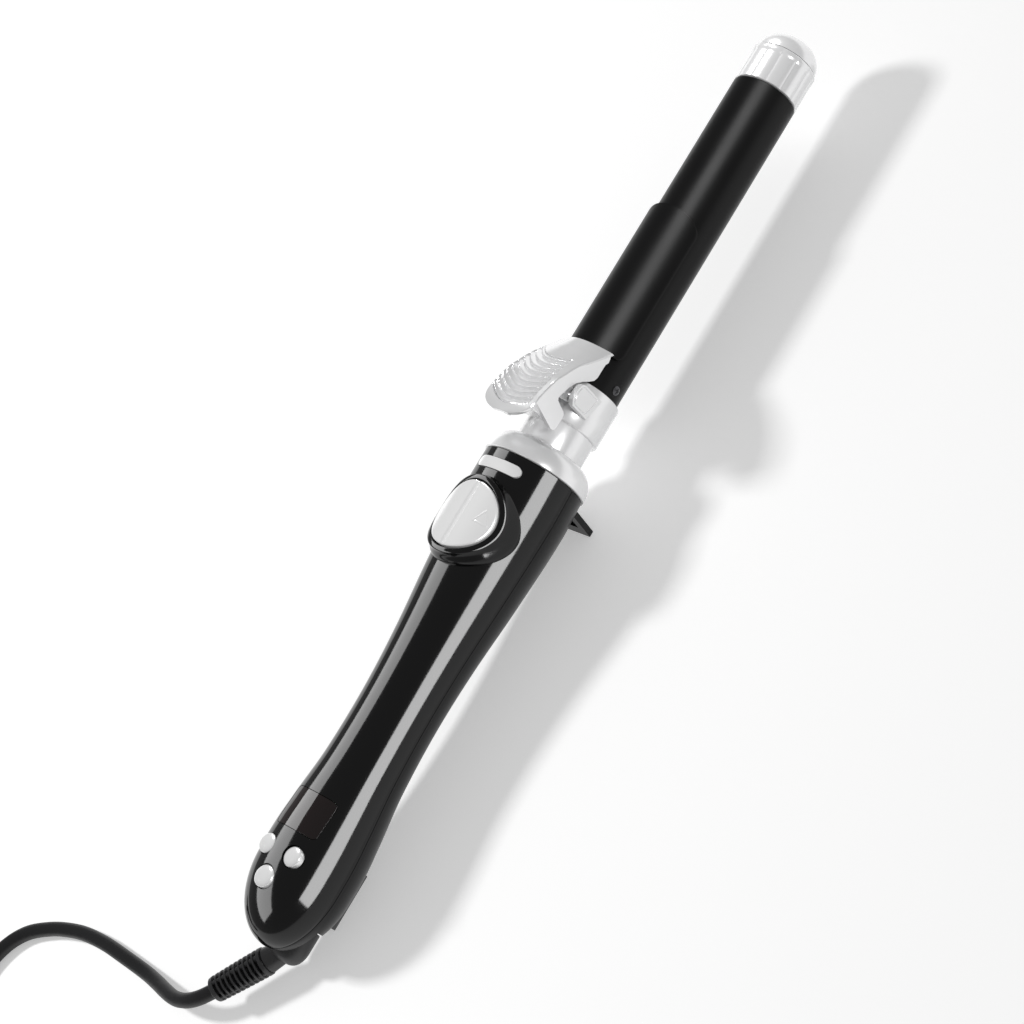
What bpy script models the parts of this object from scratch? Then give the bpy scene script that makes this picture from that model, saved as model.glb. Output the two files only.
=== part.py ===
"""Automatic hair curler: a motor-driven heated barrel with a spring clamp, on a handle with a fold-out stand.

Everything is placed from the datum, an empty on the barrel's axis at the handle's top face. From there X runs
towards the barrel's tip, Y across and Z up, away from the table. Sizes are in metres.
"""

import math

import bmesh
import bpy
from mathutils import Matrix, Vector

# Fits
GAP = 0.0003  # between faces that touch on the real object
RUNNING_GAP = 0.0004  # between a turning piece and its seat
EDGE_STEPS = 3  # facets in a rounded corner
FINE, MEDIUM, COARSE = 32, 20, 12  # segments round large, middle and small turned pieces

# Handle
REST_HEIGHT = 0.0285  # the barrel's axis above the table
HANDLE_LENGTH = 0.185
BUTT_LENGTH = 0.027  # the rounded end
HANDLE_WALL = 0.0022
HANDLE_DROP = 0.0365  # fall of the handle's centre line per metre of length
GRIP_OUTLINE = (  # share of the length before the rounded end, radius
    (0.00, 0.0193), (0.10, 0.0195), (0.28, 0.0178), (0.45, 0.0156),
    (0.60, 0.0147), (0.75, 0.0153), (0.88, 0.0173), (0.95, 0.0181), (1.00, 0.0180),
)
GRIP_RINGS = 11
BUTT_RINGS = 5
LIP_LENGTH = 0.0020
LIP_STEP = 0.0009

# Collar on the handle's top
END_COLLAR_LENGTH = 0.0097
END_COLLAR_RADIUS = 0.0198
END_COLLAR_MOUTH = 0.0136
BUSHING_WALL = 0.0017

# Turning barrel
BARREL_RADIUS = 0.0125
BARREL_WALL = 0.0012
NECK_RADIUS = 0.0127
NECK_START = 0.0006
BASE_COLLAR_RADIUS = 0.0139
BASE_COLLAR_START = 0.0195
BASE_COLLAR_END = 0.0358
BARREL_END = 0.1654
BARREL_SEAT = 0.0135  # depth of the barrel in its base
TIP_SLEEVE_LENGTH = 0.0150
TIP_CAP_LENGTH = 0.0088
TIP_SPIGOT = 0.0055
HEATER_LENGTH = 0.090
HEATER_THICKNESS = 0.0024
HEATER_WIDTH = 0.014
SPREADER_WALL = 0.0016
BARREL_SCREW_X = 0.0398

# Clamp and its lever
HINGE_X, HINGE_Z = 0.0274, 0.0164
EAR_HALF_WIDTH = 0.0043
EAR_TOP = 0.0031
EAR_INNER_Y, EAR_OUTER_Y = 0.0119, 0.0141
HINGE_PIN_RADIUS = 0.0010
CLAMP_GAP = 0.0003
CLAMP_THICKNESS = 0.0014
CLAMP_START, CLAMP_END = 0.0480, 0.1078
CLAMP_EDGE_Z = 0.0054
CLAMP_TONGUE = 0.0100
LEVER_HALF_WIDTH = 0.0117
LEVER_THICKNESS = 0.0014
LEVER_SPINE = (  # distance from the handle, height of the side edge, crown of the middle above it
    (0.0105, 0.0318, 0.0004), (0.0196, 0.0304, 0.0006), (0.0262, 0.0279, 0.0008), (0.0300, 0.0258, 0.0012),
    (0.0362, 0.0219, 0.0019), (0.0425, 0.0165, 0.0031), (0.0484, 0.0112, 0.0049),
)

# Handle controls
ROCKER_X = -0.0272
ROCKER_RADIUS = 0.01295
ROCKER_CROWN = 0.0223  # radius of its top, about the barrel's axis
ROCKER_PIVOT_Z = 0.0152
ROCKER_GROOVE = 0.0018
BEZEL_WALL = 0.0016
BEZEL_CROWN = 0.0217
TRIM_X, TRIM_LENGTH, TRIM_WIDTH = -0.0058, 0.0042, 0.0200
WINDOW_FROM_END, WINDOW_LENGTH, WINDOW_WIDTH = 0.0447, 0.0143, 0.0200
PAIR_FROM_END, PAIR_Y, PAIR_RADIUS = 0.0295, 0.0065, 0.0036
LOW_FROM_END, LOW_RADIUS = 0.0195, 0.0040
BUTTON_RISE = 0.0011
BUTTON_SKIRT = 0.0030
BOARD_Z, BOARD_THICKNESS = 0.0050, 0.0016
SWITCH_HEIGHT = 0.0014

# Drive train
MODULE = 0.0005
SUN_TEETH, PLANET_TEETH = 12, 12
RING_TEETH = SUN_TEETH + 2 * PLANET_TEETH
PLANETS = 3
PRESSURE_ANGLE = math.radians(25)
ADDENDUM, DEDENDUM = 0.80, 1.05  # in modules
BACKLASH = 0.00006  # taken off each flank
GEAR_FACE = 0.0050
GEAR_START = -0.0250  # the gears' end nearest the barrel
RING_RADIUS = 0.0110
SHAFT_RADIUS = 0.0027
MOTOR_RADIUS, MOTOR_LENGTH = 0.0105, 0.0284
DRUM_RADIUS = 0.0060
SLIP_RING_RADIUS = 0.0070

# Stand and feet
STAND_X, STAND_Z = -0.0036, -0.0120
STAND_HALF_WIDTH = 0.0120
STAND_THICKNESS = 0.0023
STAND_LEAN = math.radians(5)
STAND_KNUCKLE = 0.0022
POCKET_WALL = 0.0011
STAND_PIN_RADIUS = 0.0010
FOOT_FROM_END, FOOT_LENGTH = 0.0166, 0.0214
FOOT_TOP_HALF, FOOT_BASE_HALF = 0.0088, 0.0043
SCREWS_X = (-0.0700, -0.1180)

# Cord
SWIVEL_DROP = 0.0178  # the swivel's axis below the barrel's axis
SWIVEL_FROM_END = 0.0035  # the elbow's bend
SWIVEL_RADIUS = 0.0070
SWIVEL_FACE_FROM_END = 0.0127
CORD_ANGLE = math.radians(37.8)
RELIEF_START, RELIEF_END = 0.0090, 0.0314
RELIEF_RADIUS = 0.0046
CORD_RADIUS = 0.00275
CORD_STEP = 0.0055
CORD_ROUTE = (  # from the strain relief to the coil, metres from the datum
    (-0.2100, 0.0225, -0.0182), (-0.2128, 0.0275, -0.0199),
    (-0.2141, 0.0350, -0.0228), (-0.2145, 0.0430, -0.0249), (-0.2144, 0.0510, -0.0257),
    (-0.2142, 0.0594, -0.0257), (-0.2140, 0.0723, -0.0257), (-0.2138, 0.0855, -0.0257),
    (-0.2149, 0.0976, -0.0257), (-0.2178, 0.1083, -0.0257), (-0.2212, 0.1160, -0.0257),
    (-0.2255, 0.1229, -0.0257), (-0.2310, 0.1279, -0.0257), (-0.2375, 0.1311, -0.0257),
    (-0.2448, 0.1327, -0.0257),
)
TAIL_ROUTE = ((-0.2956, 0.1302, -0.0208), (-0.2993, 0.1304, -0.02145), (-0.3030, 0.1305, -0.02165))
COIL_CENTRE = (-0.2727, 0.1697)
COIL_MEAN_RADIUS = 0.0318
COIL_ROWS, COIL_LAYERS = 4, 2
PLUG_LENGTH, PLUG_WIDTH, PLUG_THICKNESS = 0.0360, 0.0353, 0.0137
PLUG_PIN_RADIUS, PLUG_PIN_LENGTH, PLUG_PIN_SPACING = 0.0020, 0.0190, 0.0186

# Finishes: colour, roughness, metallic
GLOSS_BLACK = ((0.012, 0.012, 0.013), 0.12, 0.0)
SATIN_BLACK = ((0.020, 0.020, 0.022), 0.38, 0.0)
COATED_BLACK = ((0.015, 0.015, 0.016), 0.34, 0.6)
SOFT_BLACK = ((0.016, 0.016, 0.017), 0.55, 0.0)
SILVER = ((0.78, 0.78, 0.79), 0.24, 0.9)
STEEL = ((0.60, 0.60, 0.61), 0.32, 1.0)
BRASS = ((0.72, 0.53, 0.24), 0.30, 1.0)
ALUMINIUM = ((0.70, 0.71, 0.72), 0.35, 1.0)
NYLON = ((0.85, 0.83, 0.76), 0.50, 0.0)
CERAMIC = ((0.80, 0.78, 0.72), 0.65, 0.0)
BOARD_GREEN = ((0.03, 0.18, 0.09), 0.45, 0.0)
DARK_GLASS = ((0.015, 0.013, 0.014), 0.06, 0.0)

TURN_X = Vector((1, 0, 0))
TURN_Y = Vector((0, 1, 0))
TURN_Z = Vector((0, 0, 1))
TIP_END = BARREL_END + TIP_SLEEVE_LENGTH + GAP + TIP_CAP_LENGTH
TABLE_Z = -REST_HEIGHT
STAND_REACH = (REST_HEIGHT + STAND_Z) / math.cos(STAND_LEAN) + 0.0002
CORD_DIRECTION = Vector((-math.cos(CORD_ANGLE), math.sin(CORD_ANGLE), 0))
ELBOW = Vector((-HANDLE_LENGTH + SWIVEL_FROM_END, 0, -SWIVEL_DROP))
SWIVEL_FACE = -HANDLE_LENGTH + SWIVEL_FACE_FROM_END
CLAMP_INNER = BARREL_RADIUS + CLAMP_GAP
CLAMP_OUTER = CLAMP_INNER + CLAMP_THICKNESS
SUN_PITCH = MODULE * SUN_TEETH / 2
PLANET_PITCH = MODULE * PLANET_TEETH / 2
PLANET_ORBIT = SUN_PITCH + PLANET_PITCH
GEAR_END = GEAR_START - GEAR_FACE
BEZEL_BORE = ROCKER_RADIUS + 0.00055

for old in list(bpy.data.objects):
    bpy.data.objects.remove(old)

parts = bpy.data.collections.new("automatic_hair_curler")
bpy.context.scene.collection.children.link(parts)


# ---------------------------------------------------------------- places
def pivot(name, place, parent=None):
    """An empty on a joint's axis; place is measured from the datum."""
    empty = bpy.data.objects.new(name, None)
    empty.parent = parent
    empty.location = Vector(place) - (parent.location if parent and parent.parent else Vector())
    parts.objects.link(empty)
    return empty


datum = bpy.data.objects.new("datum", None)
datum.location = ((HANDLE_LENGTH - TIP_END) / 2, 0, REST_HEIGHT)
parts.objects.link(datum)
barrel_axis = pivot("barrel_axis", (0, 0, 0), datum)
clamp_hinge = pivot("clamp_hinge", (HINGE_X, 0, HINGE_Z), datum)
stand_hinge = pivot("stand_hinge", (STAND_X, 0, STAND_Z), datum)
rocker_hinge = pivot("rocker_hinge", (ROCKER_X, 0, ROCKER_PIVOT_Z), datum)
swivel_axis = pivot("swivel_axis", ELBOW, datum)


# ---------------------------------------------------------------- tools
def finish_mesh(bm):
    mesh = bpy.data.meshes.new("mesh")
    bmesh.ops.recalc_face_normals(bm, faces=bm.faces)
    bm.to_mesh(mesh)
    bm.free()
    return mesh


def piece(name, mesh, look, holder=None):
    """A sub-part whose mesh is given from the datum, carried by the datum or by a joint's pivot."""
    obj = bpy.data.objects.new(name, mesh)
    holder = holder or datum
    obj.parent = holder
    if holder is not datum:
        obj.location = -holder.location
    colour, roughness, metallic = look
    material = bpy.data.materials.new(name)
    material.use_nodes = True
    shader = material.node_tree.nodes["Principled BSDF"]
    shader.inputs["Base Color"].default_value = (*colour, 1)
    shader.inputs["Roughness"].default_value = roughness
    shader.inputs["Metallic"].default_value = metallic
    dress(mesh, material)
    parts.objects.link(obj)
    return obj


def dress(mesh, material):
    mesh.materials.append(material)
    mesh.shade_smooth()
    mesh.set_sharp_from_angle(angle=math.radians(30))


def combine(obj, mesh, operation):
    """One Boolean step, applied, so that each step starts from a clean closed mesh."""
    material = obj.data.materials[0]
    obj.data.materials.clear()
    obj.data = shaped(obj.data, (operation, mesh))
    dress(obj.data, material)


def cut(obj, *meshes):
    for mesh in meshes:
        combine(obj, mesh, "DIFFERENCE")


def join(obj, *meshes):
    for mesh in meshes:
        combine(obj, mesh, "UNION")


def limit(obj, *meshes):
    for mesh in meshes:
        combine(obj, mesh, "INTERSECT")


def evaluated(obj):
    """A plain mesh of an object as its modifiers make it, with the seams welded; the object is removed."""
    bpy.context.view_layer.update()
    mesh = bpy.data.meshes.new_from_object(obj.evaluated_get(bpy.context.evaluated_depsgraph_get()))
    mesh.transform(obj.matrix_world)
    mesh.materials.clear()
    bpy.data.objects.remove(obj)
    bm = bmesh.new()
    bm.from_mesh(mesh)
    bmesh.ops.remove_doubles(bm, verts=bm.verts, dist=0.000001)
    return finish_mesh(bm)


def shaped(base, *steps):
    """A mesh after (operation, mesh) steps, for shapes that are tools themselves."""
    obj = bpy.data.objects.new("shape", base)
    bpy.context.scene.collection.objects.link(obj)
    helpers = []
    for operation, mesh in steps:
        helper = bpy.data.objects.new("helper", mesh)
        bpy.context.scene.collection.objects.link(helper)
        helpers.append(helper)
        modifier = obj.modifiers.new(operation.lower(), "BOOLEAN")
        modifier.operation = operation
        modifier.solver = "EXACT"
        modifier.object = helper
    mesh = evaluated(obj)
    for helper in helpers:
        bpy.data.objects.remove(helper)
    return mesh


def block(low, high):
    bm = bmesh.new()
    bmesh.ops.create_cube(bm, size=1)
    low, high = Vector(low), Vector(high)
    for vertex in bm.verts:
        vertex.co = Vector([a + (c + 0.5) * (b - a) for a, b, c in zip(low, high, vertex.co)])
    return finish_mesh(bm)


def turned(profile, segments, direction=TURN_X, at=(0, 0, 0), ring=False):
    """A turned solid. The profile's (distance, radius) points run down the outer side from the far end."""
    mesh = bpy.data.meshes.new("profile")
    edges = [(i, i + 1) for i in range(len(profile) - 1)]
    if ring:
        edges.append((len(profile) - 1, 0))
    mesh.from_pydata([(radius, 0, distance) for distance, radius in profile], edges, [])
    obj = bpy.data.objects.new("turned", mesh)
    obj.rotation_euler = direction.to_track_quat("Z", "Y").to_euler()
    obj.location = at
    bpy.context.scene.collection.objects.link(obj)
    screw = obj.modifiers.new("screw", "SCREW")
    screw.axis = "Z"
    screw.steps = screw.render_steps = segments
    screw.use_merge_vertices = True
    screw.merge_threshold = 0.00001
    return evaluated(obj)


def rod(start, end, radius, segments=COARSE):
    """A straight round bar between two points."""
    start, end = Vector(start), Vector(end)
    length = (end - start).length
    return turned(((length, 0), (length, radius), (0, radius), (0, 0)), segments, (end - start), start)


def ring_solid(near, far, inner, outer, segments, direction=TURN_X, at=(0, 0, 0)):
    return turned(
        ((far, outer), (near, outer), (near, inner), (far, inner)), segments, direction, at, ring=True
    )


def prism(outline, thickness, at=(0, 0, 0), normal="Z"):
    """A flat outline as a solid, centred on its plane. Normal Y puts the outline in XZ, normal X in YZ."""
    curve = bpy.data.curves.new("outline", "CURVE")
    curve.dimensions = "2D"
    curve.fill_mode = "BOTH"
    curve.extrude = thickness / 2
    spline = curve.splines.new("POLY")
    spline.points.add(len(outline) - 1)
    for point, (a, b) in zip(spline.points, outline):
        point.co = (a, b, 0, 1)
    spline.use_cyclic_u = True
    obj = bpy.data.objects.new("prism", curve)
    turns = {"X": (math.pi / 2, 0, math.pi / 2), "Y": (math.pi / 2, 0, 0), "Z": (0, 0, 0)}
    obj.rotation_euler = turns[normal]
    obj.location = at
    bpy.context.scene.collection.objects.link(obj)
    return evaluated(obj)


def rounded(length, width, radius):
    """A rectangle's outline with rounded corners, about its centre."""
    points = []
    for turn, (sx, sy) in enumerate(((1, 1), (-1, 1), (-1, -1), (1, -1))):
        for i in range(EDGE_STEPS + 1):
            angle = math.pi / 2 * (turn + i / EDGE_STEPS)
            x = sx * (length / 2 - radius) + radius * math.cos(angle)
            y = sy * (width / 2 - radius) + radius * math.sin(angle)
            points.append((x, y))
    return points


def smooth(points, share):
    """A point on a smooth curve through the points, share running from 0 to 1 over them all."""
    place = share * (len(points) - 1)
    i = min(int(place), len(points) - 2)
    t = place - i
    p1, p2 = Vector(points[i]), Vector(points[i + 1])
    p0 = Vector(points[i - 1]) if i > 0 else 2 * p1 - p2
    p3 = Vector(points[i + 2]) if i + 2 < len(points) else 2 * p2 - p1
    return 0.5 * (
        2 * p1 + (p2 - p0) * t + (2 * p0 - 5 * p1 + 4 * p2 - p3) * t**2 + (3 * p1 - p0 - 3 * p2 + p3) * t**3
    )


def smooth_line(points, step):
    """The smooth curve as points about one step apart."""
    fine = [smooth(points, i / 400) for i in range(401)]
    along = [0.0]
    for a, b in zip(fine, fine[1:]):
        along.append(along[-1] + (b - a).length)
    count = max(2, round(along[-1] / step))
    line, i = [], 0
    for k in range(count + 1):
        target = along[-1] * k / count
        while i < len(along) - 2 and along[i + 1] < target:
            i += 1
        share = (target - along[i]) / (along[i + 1] - along[i])
        line.append(fine[i].lerp(fine[i + 1], min(max(share, 0), 1)))
    return line


def tube(points, radius, resolution=2):
    """A round cord along the points."""
    curve = bpy.data.curves.new("tube", "CURVE")
    curve.dimensions = "3D"
    curve.bevel_depth = radius
    curve.bevel_resolution = resolution
    curve.use_fill_caps = True
    spline = curve.splines.new("POLY")
    spline.points.add(len(points) - 1)
    for point, place in zip(spline.points, points):
        point.co = (*place, 1)
    obj = bpy.data.objects.new("tube", curve)
    bpy.context.scene.collection.objects.link(obj)
    return evaluated(obj)


# ---------------------------------------------------------------- handle
LEAN = Matrix(((1, 0, 0, 0), (0, 1, 0, 0), (HANDLE_DROP, 0, 1, 0), (0, 0, 0, 1)))


def centre_z(x):
    """Height of the handle's centre line."""
    return HANDLE_DROP * x


def handle_radius(x):
    """The handle's outer radius at x, which is negative below its top face."""
    depth, grip = -x, HANDLE_LENGTH - BUTT_LENGTH
    if depth > grip:
        return GRIP_OUTLINE[-1][1] * math.sqrt(max(0.0, 1 - ((depth - grip) / BUTT_LENGTH) ** 2))
    share = min(max(depth / grip, 0), 1)
    shares = [s for s, _ in GRIP_OUTLINE]
    i = max(k for k in range(len(shares) - 1) if shares[k] <= share)
    local = (share - shares[i]) / (shares[i + 1] - shares[i])
    radii = [Vector((r, 0, 0)) for _, r in GRIP_OUTLINE]
    return smooth(radii, (i + local) / (len(radii) - 1)).x


def handle_form(inset, top=0.0, lip=False):
    """The handle's leaning round form as a solid, its surface set in by inset."""
    grip = HANDLE_LENGTH - BUTT_LENGTH
    profile = [(top, 0)]
    if lip:
        lip_radius = handle_radius(0) - LIP_STEP
        profile = [(LIP_LENGTH, 0), (LIP_LENGTH, lip_radius), (0, lip_radius)]
    elif top:
        profile.append((top, handle_radius(0) - inset))
    for i in range(GRIP_RINGS):
        x = -grip * i / GRIP_RINGS
        profile.append((x, handle_radius(x) - inset))
    for i in range(BUTT_RINGS):
        angle = math.pi / 2 * i / BUTT_RINGS
        reach = (BUTT_LENGTH - inset) * math.sin(angle)
        profile.append((-grip - reach, (GRIP_OUTLINE[-1][1] - inset) * math.cos(angle)))
    profile.append((-HANDLE_LENGTH + inset, 0))
    mesh = turned(profile, FINE)
    mesh.transform(LEAN @ Matrix.Rotation(math.pi / FINE, 4, "X"))
    return mesh


def half_space(upper):
    """Everything above or below the parting plane, which follows the centre line."""
    side = 1 if upper else -1
    low, high = sorted((-side * GAP / 2, side * 0.060))
    mesh = block((-0.250, -0.050, low), (0.050, 0.050, high))
    mesh.transform(LEAN)
    return mesh


def window_outline(extra=0.0):
    return rounded(WINDOW_LENGTH + 2 * extra, WINDOW_WIDTH + 2 * extra, 0.0018 + extra)


def trim_outline(extra=0.0):
    return rounded(TRIM_LENGTH + 2 * extra, TRIM_WIDTH + 2 * extra, TRIM_LENGTH / 2 + extra - 0.00001)


WINDOW_X = -HANDLE_LENGTH + WINDOW_FROM_END
BUTTONS = (  # name, x, y, radius
    ("power_button", -HANDLE_LENGTH + LOW_FROM_END, 0.0, LOW_RADIUS),
    ("plus_button", -HANDLE_LENGTH + PAIR_FROM_END, PAIR_Y, PAIR_RADIUS),
    ("minus_button", -HANDLE_LENGTH + PAIR_FROM_END, -PAIR_Y, PAIR_RADIUS),
)


def surface_z(x, y):
    """Height of the handle's front surface."""
    return centre_z(x) + math.sqrt(handle_radius(x) ** 2 - y**2)


def front_shell():
    shell = piece("front_shell", handle_form(0, lip=True), GLOSS_BLACK)
    cut(shell, handle_form(HANDLE_WALL, top=0.010), half_space(False))
    for x in SCREWS_X:
        inner = centre_z(x) + handle_radius(x) - HANDLE_WALL
        low = centre_z(x) - 0.0040
        boss = (
            (inner + 0.0008, 0), (inner + 0.0008, 0.0030), (low, 0.0030), (low, 0.0013), (inner - 0.0030, 0.0013),
            (inner - 0.0030, 0),
        )
        join(shell, turned(boss, COARSE, TURN_Z, (x, 0, 0)))
    cut(shell, rod((ROCKER_X, 0, 0.0090), (ROCKER_X, 0, 0.0300), BEZEL_BORE, MEDIUM))
    cut(shell, prism(trim_outline(GAP), 0.030, (TRIM_X, 0, 0.0240)))
    cut(shell, prism(window_outline(GAP), 0.030, (WINDOW_X, 0, 0.0180)))
    for _, x, y, radius in BUTTONS:
        cut(shell, rod((x, y, 0.0040), (x, y, 0.0300), radius + RUNNING_GAP, COARSE))


def stand_pocket(wall):
    """The stand's space in the rear shell, or the space and its walls, as one stepped solid."""
    near = min(STAND_X + STAND_KNUCKLE + RUNNING_GAP + wall, -GAP)
    knuckle_end = STAND_X - STAND_KNUCKLE - RUNNING_GAP - wall
    far = STAND_X - STAND_REACH - 2 * RUNNING_GAP - wall
    deep = STAND_Z + STAND_KNUCKLE + RUNNING_GAP + wall
    shallow = STAND_Z + STAND_KNUCKLE - STAND_THICKNESS + 1.5 * RUNNING_GAP + wall
    low = -0.040
    outline = ((near, low), (near, deep), (knuckle_end, deep), (knuckle_end, shallow), (far, shallow), (far, low))
    return prism(outline, 2 * (STAND_HALF_WIDTH + RUNNING_GAP + wall), (0, 0, 0), "Y")


def rear_shell():
    shell = piece("rear_shell", handle_form(0, lip=True), SATIN_BLACK)
    cut(shell, handle_form(HANDLE_WALL, top=0.010), half_space(True))
    solid = handle_form(0.0006)
    join(shell, shaped(stand_pocket(POCKET_WALL), ("INTERSECT", solid)))
    notch_ceiling = -SWIVEL_DROP + SWIVEL_RADIUS + 0.0006
    butt = block((-0.200, -0.030, -0.040), (SWIVEL_FACE + 0.0055, 0.030, notch_ceiling + 0.0015))
    join(shell, shaped(butt, ("INTERSECT", solid)))
    cut(shell, stand_pocket(0))
    cut(shell, block((-0.200, -0.030, -0.040), (SWIVEL_FACE, 0.030, notch_ceiling)))
    cut(shell, rod(ELBOW + Vector((-0.005, 0, 0)), (SWIVEL_FACE + 0.0078, 0, -SWIVEL_DROP), 0.0050))
    pin_half = STAND_HALF_WIDTH + 0.0018
    cut(shell, rod((STAND_X, -pin_half, STAND_Z), (STAND_X, pin_half, STAND_Z), STAND_PIN_RADIUS + GAP))
    for x in SCREWS_X:
        outer = centre_z(x) - handle_radius(x)
        cut(shell, rod((x, 0, outer - 0.002), (x, 0, outer + 0.0040), 0.0014))
        cut(shell, rod((x, 0, outer - 0.002), (x, 0, outer + 0.0013), 0.0029))


def end_collar():
    rise = END_COLLAR_LENGTH - 0.0010
    outer = []
    for i in range(6):
        angle = math.pi / 2 * i / 5
        x = 0.0010 + rise * math.cos(angle)
        r = END_COLLAR_MOUTH + (END_COLLAR_RADIUS - END_COLLAR_MOUTH) * math.sin(angle)
        outer.append((x, r))
    bore = NECK_RADIUS + RUNNING_GAP
    seat = bore + BUSHING_WALL
    lip_seat = handle_radius(0) - LIP_STEP + GAP
    inner = [
        (GAP, END_COLLAR_RADIUS - GAP), (GAP, lip_seat), (LIP_LENGTH + GAP, lip_seat), (LIP_LENGTH + GAP, seat),
        (END_COLLAR_LENGTH - 0.0013, seat), (END_COLLAR_LENGTH - 0.0013, bore), (END_COLLAR_LENGTH, bore),
    ]
    piece("end_collar", turned(outer + inner, FINE, ring=True), SILVER)
    near, far = LIP_LENGTH + 2 * GAP, END_COLLAR_LENGTH - 0.0013 - GAP
    piece("front_bushing", ring_solid(near, far, bore - 0.0001, seat - GAP, MEDIUM), BRASS)


def trim_bar():
    bar_piece = piece("trim_bar", prism(trim_outline(), 0.030, (TRIM_X, 0, 0.0240)), SILVER)
    limit(bar_piece, handle_form(-0.0003))
    cut(bar_piece, handle_form(HANDLE_WALL - 0.0004, top=0.010))


def display():
    window = piece("display_window", prism(window_outline(), 0.030, (WINDOW_X, 0, 0.0180)), DARK_GLASS)
    limit(window, handle_form(0))
    cut(window, handle_form(HANDLE_WALL - 0.0006, top=0.010))
    base = BOARD_Z + BOARD_THICKNESS / 2 + GAP
    size = Vector((WINDOW_LENGTH - 0.0010, 0.0120, 0.0016))
    low = Vector((WINDOW_X - size.x / 2, -size.y / 2, base))
    piece("display_module", block(low, low + size), SATIN_BLACK)


def bezel_and_rocker():
    profile = (
        (0.0245, BEZEL_BORE + BEZEL_WALL), (0.0090, BEZEL_BORE + BEZEL_WALL + 0.0034),
        (0.0090, BEZEL_BORE), (0.0245, BEZEL_BORE),
    )
    bezel = piece("rocker_bezel", turned(profile, FINE, TURN_Z, (ROCKER_X, 0, 0), ring=True), GLOSS_BLACK)
    limit(bezel, rod((ROCKER_X - 0.025, 0, 0), (ROCKER_X + 0.025, 0, 0), BEZEL_CROWN, FINE))
    cut(bezel, handle_form(-GAP))
    underside = ROCKER_PIVOT_Z + 0.0018
    rocker = piece(
        "rocker_button", rod((ROCKER_X, 0, underside), (ROCKER_X, 0, 0.0260), ROCKER_RADIUS, MEDIUM), SILVER, rocker_hinge
    )
    limit_crown(rocker)
    groove_floor = ROCKER_CROWN - 0.0007
    cut(rocker, block(
        (ROCKER_X - 0.020, -ROCKER_GROOVE / 2, groove_floor), (ROCKER_X + 0.020, ROCKER_GROOVE / 2, 0.030)
    ))
    lug = 0.0090
    join(rocker, rod((ROCKER_X - lug, 0, ROCKER_PIVOT_Z), (ROCKER_X + lug, 0, ROCKER_PIVOT_Z), 0.0022))
    cut(rocker, rod((ROCKER_X - 0.012, 0, ROCKER_PIVOT_Z), (ROCKER_X + 0.012, 0, ROCKER_PIVOT_Z), 0.0011))


def limit_crown(rocker):
    """The rocker's top follows a cylinder about the barrel's axis."""
    limit(rocker, rod((ROCKER_X - 0.025, 0, 0), (ROCKER_X + 0.025, 0, 0), ROCKER_CROWN, FINE))


def rocker_works():
    """The cradle that holds the rocker's pin, the pin, and the two switches it works."""
    post_x, post, top = 0.0093, 0.0014, ROCKER_PIVOT_Z + 0.0015
    floor_low, floor_high = ROCKER_PIVOT_Z - 0.0033, ROCKER_PIVOT_Z - 0.0024
    far = post_x + post
    base = block((ROCKER_X - far, -0.0074, floor_low), (ROCKER_X + far, 0.0074, floor_high))
    cradle = piece("rocker_cradle", base, SATIN_BLACK)
    for side in (-1, 1):
        x0, x1 = sorted((ROCKER_X + side * post_x, ROCKER_X + side * far))
        join(cradle, block((x0, -0.0024, floor_high - 0.0005), (x1, 0.0024, top)))
    pin_half = far - 0.0002
    cut(cradle, rod(
        (ROCKER_X - 0.015, 0, ROCKER_PIVOT_Z), (ROCKER_X + 0.015, 0, ROCKER_PIVOT_Z), 0.0011
    ))
    pin = rod((ROCKER_X - pin_half, 0, ROCKER_PIVOT_Z), (ROCKER_X + pin_half, 0, ROCKER_PIVOT_Z), 0.0008)
    piece("rocker_pin", pin, STEEL)
    for name, y in (("rocker_switch_left", 0.0055), ("rocker_switch_right", -0.0055)):
        low = Vector((ROCKER_X - 0.0020, y - 0.0018, floor_high + GAP))
        switch = piece(name, block(low, low + Vector((0.0040, 0.0036, 0.0016))), SATIN_BLACK)
        stem_base = low + Vector((0.0020, 0.0018, 0.0010))
        join(switch, rod(stem_base, stem_base + Vector((0, 0, 0.0012)), 0.0010, 10))


def buttons():
    board_top = BOARD_Z + BOARD_THICKNESS / 2
    for name, x, y, radius in BUTTONS:
        hinge = pivot(name + "_slide", (x, y, surface_z(x, y)), datum)
        top = surface_z(x, y) + BUTTON_RISE
        foot = board_top + GAP + SWITCH_HEIGHT + 0.0010
        crown = [(top, 0)]
        for i in range(1, 4):
            angle = math.pi / 2 * i / 3
            crown.append((top - 0.0011 * (1 - math.cos(angle)), radius * math.sin(angle)))
        body = [(top - BUTTON_SKIRT, radius), (top - BUTTON_SKIRT, 0.0016), (foot, 0.0016), (foot, 0)]
        piece(name, turned(crown + body, MEDIUM, TURN_Z, (x, y, 0)), SILVER, hinge)
        low = Vector((x - 0.0020, y - 0.0020, board_top + GAP))
        high = low + Vector((0.0040, 0.0040, SWITCH_HEIGHT))
        piece(name.replace("_button", "_switch"), block(low, high), STEEL)


def control_board():
    start, end = -HANDLE_LENGTH + 0.0170, -HANDLE_LENGTH + 0.0560
    size, middle = (end - start, 0.0164), (start + end) / 2
    board = piece("control_board", prism(rounded(*size, 0.002), BOARD_THICKNESS, (middle, 0, BOARD_Z)), BOARD_GREEN)
    board.data.shade_flat()


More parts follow.
